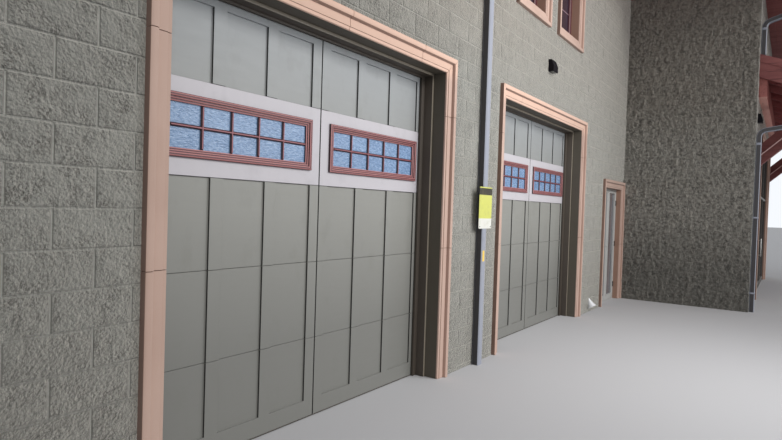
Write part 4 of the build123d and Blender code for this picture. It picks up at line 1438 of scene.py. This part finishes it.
def downspouts():
    centre = pipe["standoff"] + pipe["depth"] / 2
    gutterCentre = eave["overhang"] + eave["fascia"] + eave["gutter"] / 2
    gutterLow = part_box("fascia")[1].z - eave["gutterDrop"] - eave["gutterHeight"]
    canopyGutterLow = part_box("gutters")[0].z
    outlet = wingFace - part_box("canopy_edge_board")[0].y + eave["gutter"] / 2
    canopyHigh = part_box("canopy_roof")[1].z
    p = pipe
    mainX, lowerX, upperX = leftEdge + p["mainX"], wingEdge + p["lowerX"], wingEdge + p["upperX"]
    bm = bmesh.new()
    toGutter = [(gutterCentre, gutterLow - p["drop"]), (gutterCentre, gutterLow)]
    addPipe(bm, mainX, mainFace, [(centre, 0), (centre, p["mainOffset"]), *toGutter])
    start = canopyHigh - canopyTimber["slope"] * (centre - p["depth"] / 2)
    addPipe(bm, upperX, wingFace, [(centre, start), (centre, p["upperElbow"]),
                                   (gutterCentre, p["upperOutlet"]), (gutterCentre, gutterLow)])
    addPipe(bm, lowerX, wingFace, [(centre, 0), (centre, p["lowerElbow"]),
                                   (outlet, canopyGutterLow - p["drop"]), (outlet, canopyGutterLow)])
    turnOut(bm)
    # painted shade on the pipes' side faces
    for face in bm.faces:
        face.material_index = 1 if abs(face.normal.x) > 0.9 else 0
    makePiece("downspout_pipes", bm, ["gutter", "pipeSideShade"],
              standsFor=("downspouts",), smooth=40)
    bm = bmesh.new()
    for z in p["clips"]:
        addClip(bm, mainX, mainFace, z)
    for z in p["straps"]:
        addStrap(bm, lowerX, wingFace, z)
    addSleeve(bm, lowerX, wingFace, centre, p["lowerSleeve"])
    addSleeve(bm, upperX, wingFace, centre, p["upperSleeve"])
    turnOut(bm)
    makePiece("downspout_straps", bm, ["gutter"], smooth=30)
    bm = bmesh.new()
    marker = pipeMarker
    front = mainFace - p["standoff"] - p["depth"]
    x, z = mainX + marker["shift"], marker["height"]
    half, inner, edge = marker["half"], marker["inner"], marker["edge"]
    tall = marker["halfTall"]
    addBlock(bm, (x - half, front - 0.0008, z - tall), (x + half, front + 0.0004, z + tall), edge)
    tall -= inner
    addBlock(bm, (x - inner, front - 0.0016, z - tall), (x + inner, front - 0.0004, z + tall), edge, index=1)
    makePiece("downspout_marker", bm, ["marker", "markerMiddle"])
    print("downspouts made")


downspouts()


# lights, notice plate and drain nozzle

wallLightSize = {
    "width": 0.180, "height": 0.170, "reach": 0.095, "hood": 0.060, "drop": 0.085, "doorShift": -0.072,
    "doorHeight": 3.700, "canopyShift": 0.420, "canopyHeight": 3.540, "ease": 0.003,
}


def wallLight(bm, x, face, z):
    w = wallLightSize
    half, high, reach = w["width"] / 2, w["height"], w["reach"]
    place = axes((0, -1, 0), (0, 0, 1), (1, 0, 0), (x, face, z))
    brow = high - w["drop"]
    hood, e = w["hood"], w["ease"]
    shell = [(0.0, 0.004), (reach - e, 0.004), (reach, 0.004 + e), (reach, brow - e), (reach - e, brow),
             (hood + 0.002, high - e), (hood - 0.002, high), (0.0, high)]

    # painted highlight on the hood's sloping top, grey against the black body
    def shellPart(first, last):
        return 2 if first[0] - last[0] > 0.03 and first[1] < last[1] else 0

    addMoulding(bm, shell, place, -half + 0.004, half - 0.004, part=shellPart)
    for end in (-1, 1):  # a cheek at each end
        cheek = [(out + 0.001, up) for out, up in shell]
        a, b = end * half, end * (half - 0.005)
        addMoulding(bm, cheek, place, min(a, b), max(a, b))
    lens = [(0.012, 0.0), (reach - 0.010, 0.0), (reach - 0.010, 0.008), (0.012, 0.008)]
    addMoulding(bm, lens, place, -half + 0.014, half - 0.014, index=1)
    addRod(bm, (x, face - reach, z + brow / 2), (x, face - reach - 0.003, z + brow / 2), 0.006)


drainNozzle = {"tip": 0.014, "lipReach": 0.150, "lipTop": 0.130, "rings": 9}


def fittings():
    bm = bmesh.new()
    w = wallLightSize
    doorMiddle = leftEdge + (overheadGaps[1][0] + overheadGaps[1][1]) / 2
    wallLight(bm, doorMiddle + w["doorShift"], mainFace, w["doorHeight"])
    wallLight(bm, wingEdge + w["canopyShift"], wingFace, w["canopyHeight"])
    turnOut(bm)
    makePiece("wall_light_housings", bm, ["lightSide", "lens", "lampHoodLit"],
              standsFor=("wall_lights",), smooth=30)

    low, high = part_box("notice_plate")
    bm = bmesh.new()
    addBlock(bm, low, high)
    upright = [e for e in bm.edges if abs(e.verts[0].co.y - e.verts[1].co.y) > 0.001]
    ease(bm, upright, noticePlate["corner"], segments=5)
    inset = noticePlate["screwInset"]
    for x in (low.x + inset, high.x - inset):
        for z in (low.z + inset, high.z - inset):
            addRod(bm, (x, low.y + 0.001, z), (x, low.y - 0.003, z), noticePlate["screw"], 1)
    makePiece("notice_plate_face", bm, ["plate", "screw"],
              standsFor=("notice_plate",), smooth=30)

    low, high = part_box("drain_nozzle")
    bm = bmesh.new()
    x = (low.x + high.x) / 2
    tip = drainNozzle["tip"]
    mouth = Vector((x, high.y - drainNozzle["lipReach"] / 2, (low.z + drainNozzle["lipTop"]) / 2))
    point = Vector((x, high.y - tip, high.z))
    rise = drainNozzle["lipTop"] - low.z
    halfLip = sqrt(drainNozzle["lipReach"] ** 2 + rise ** 2) / 2
    tilt = atan2(rise, drainNozzle["lipReach"])
    rings = []
    for i in range(drainNozzle["rings"]):
        share = i / (drainNozzle["rings"] - 1)
        flare = (1 - share) ** 1.2
        made = bmesh.ops.create_circle(bm, segments=28, radius=1.0)["verts"]
        wide = tip + ((high.x - low.x) / 2 - tip) * flare
        deep = tip + (halfLip - tip) * flare
        bmesh.ops.scale(bm, vec=(wide, deep, 1), verts=made)
        bmesh.ops.rotate(bm, matrix=Matrix.Rotation(-tilt * (1 - share), 3, "X"), verts=made)
        bmesh.ops.translate(bm, vec=mouth.lerp(point, share), verts=made)
        rings.append(list({e for vert in made for e in vert.link_edges}))
    for i in range(len(rings) - 1):
        bmesh.ops.bridge_loops(bm, edges=rings[i] + rings[i + 1])
    bmesh.ops.edgeloop_fill(bm, edges=rings[-1])
    turnOut(bm)
    hood = makePiece("nozzle_hood", bm, ["nozzle"], standsFor=("drain_nozzle",), smooth=60)
    thick = hood.modifiers.new("wall", "SOLIDIFY")
    thick.thickness = 0.003
    print("fittings made")


fittings()


# floor, light and camera


def stage():
    bm = bmesh.new()
    bmesh.ops.create_grid(bm, x_segments=1, y_segments=1, size=150)
    bmesh.ops.translate(bm, vec=(0, 0, -0.002), verts=bm.verts)
    mesh = bpy.data.meshes.new("paleFloor")
    bm.to_mesh(mesh)
    bm.free()
    shade = Shade("paleFloor")
    mesh.materials.append(shade.finish(Base_Color=paint(196, 196, 198), Roughness=0.9))
    floor = bpy.data.objects.new("paleFloor", mesh)
    bpy.context.scene.collection.objects.link(floor)


lighting = {
    "sky": 0.42, "sun": 1.0, "sunAngle": 20.0, "sunFrom": (-0.16, -0.88, 0.42),
    "panel": 200.0, "panelSize": 3.5, "panelAt": (-3.5, -7.6, 4.0), "panelTo": (-3.5, -3.3, 2.8),
    "lowPanel": 55.0, "lowPanelSize": 2.5, "lowPanelAt": (5.2, -9.6, 0.4), "lowPanelTo": (4.2, -5.8, 3.6),
}


skyColour, sunColour = (0.93, 0.96, 1.0, 1), (1.0, 0.97, 0.93)


def hang(data, away, at=(0, 0, 0)):
    lamp = bpy.data.objects.new(data.name, data)
    lamp.rotation_mode = "QUATERNION"
    lamp.rotation_quaternion = away.to_track_quat("Z", "Y")
    lamp.location = at
    bpy.context.scene.collection.objects.link(lamp)


def lights():
    world = bpy.data.worlds.new("paleSky")
    bpy.context.scene.world = world
    sky = Shade("paleSky", world)  # full strength where it is seen, less where it lights
    rays = ("Is Camera Ray", "Is Glossy Ray", "Is Transmission Ray")
    seen, glossy, through = (sky.node("ShaderNodeLightPath", output=ray) for ray in rays)
    for ray in (glossy, through):
        seen = seen.maths("MAXIMUM", seen, ray)
    sky.finish(Color=skyColour, Strength=seen * (1 - lighting["sky"]) + lighting["sky"])
    sun = bpy.data.lights.new("softSun", "SUN")
    sun.energy = lighting["sun"]
    sun.angle = radians(lighting["sunAngle"])
    sun.color = sunColour
    hang(sun, Vector(lighting["sunFrom"]))
    for name in ("panel", "lowPanel"):  # one before the doors, one low in front of the canopy
        area = bpy.data.lights.new(name, "AREA")
        area.energy = lighting[name]
        area.size = lighting[name + "Size"]
        at = Vector(lighting[name + "At"])
        hang(area, at - Vector(lighting[name + "To"]), at)


view = {"foot": (-10.098, -6.200, 1.715), "lens": 25.785, "yaw": 54.466, "pitch": -1.225, "roll": 1.826}


def camera():
    yaw, pitch, roll = (radians(view[key]) for key in ("yaw", "pitch", "roll"))
    ahead = Vector((sin(yaw) * cos(pitch), cos(yaw) * cos(pitch), sin(pitch)))
    right = Vector((cos(yaw), -sin(yaw), 0))
    up = right.cross(ahead)
    across = right * cos(roll) + up * sin(roll)
    above = up * cos(roll) - right * sin(roll)
    data = bpy.data.cameras.new("streetView")
    data.lens = view["lens"]
    data.sensor_width = 36.0
    data.clip_end = 400.0
    eye = bpy.data.objects.new("streetView", data)
    turned = Matrix((across, above, -ahead)).transposed().to_4x4()
    eye.matrix_world = Matrix.Translation(view["foot"]) @ turned
    bpy.context.scene.collection.objects.link(eye)
    bpy.context.scene.camera = eye


stage()
lights()
camera()
bpy.context.scene.view_settings.view_transform = "Standard"
print("scene ready")
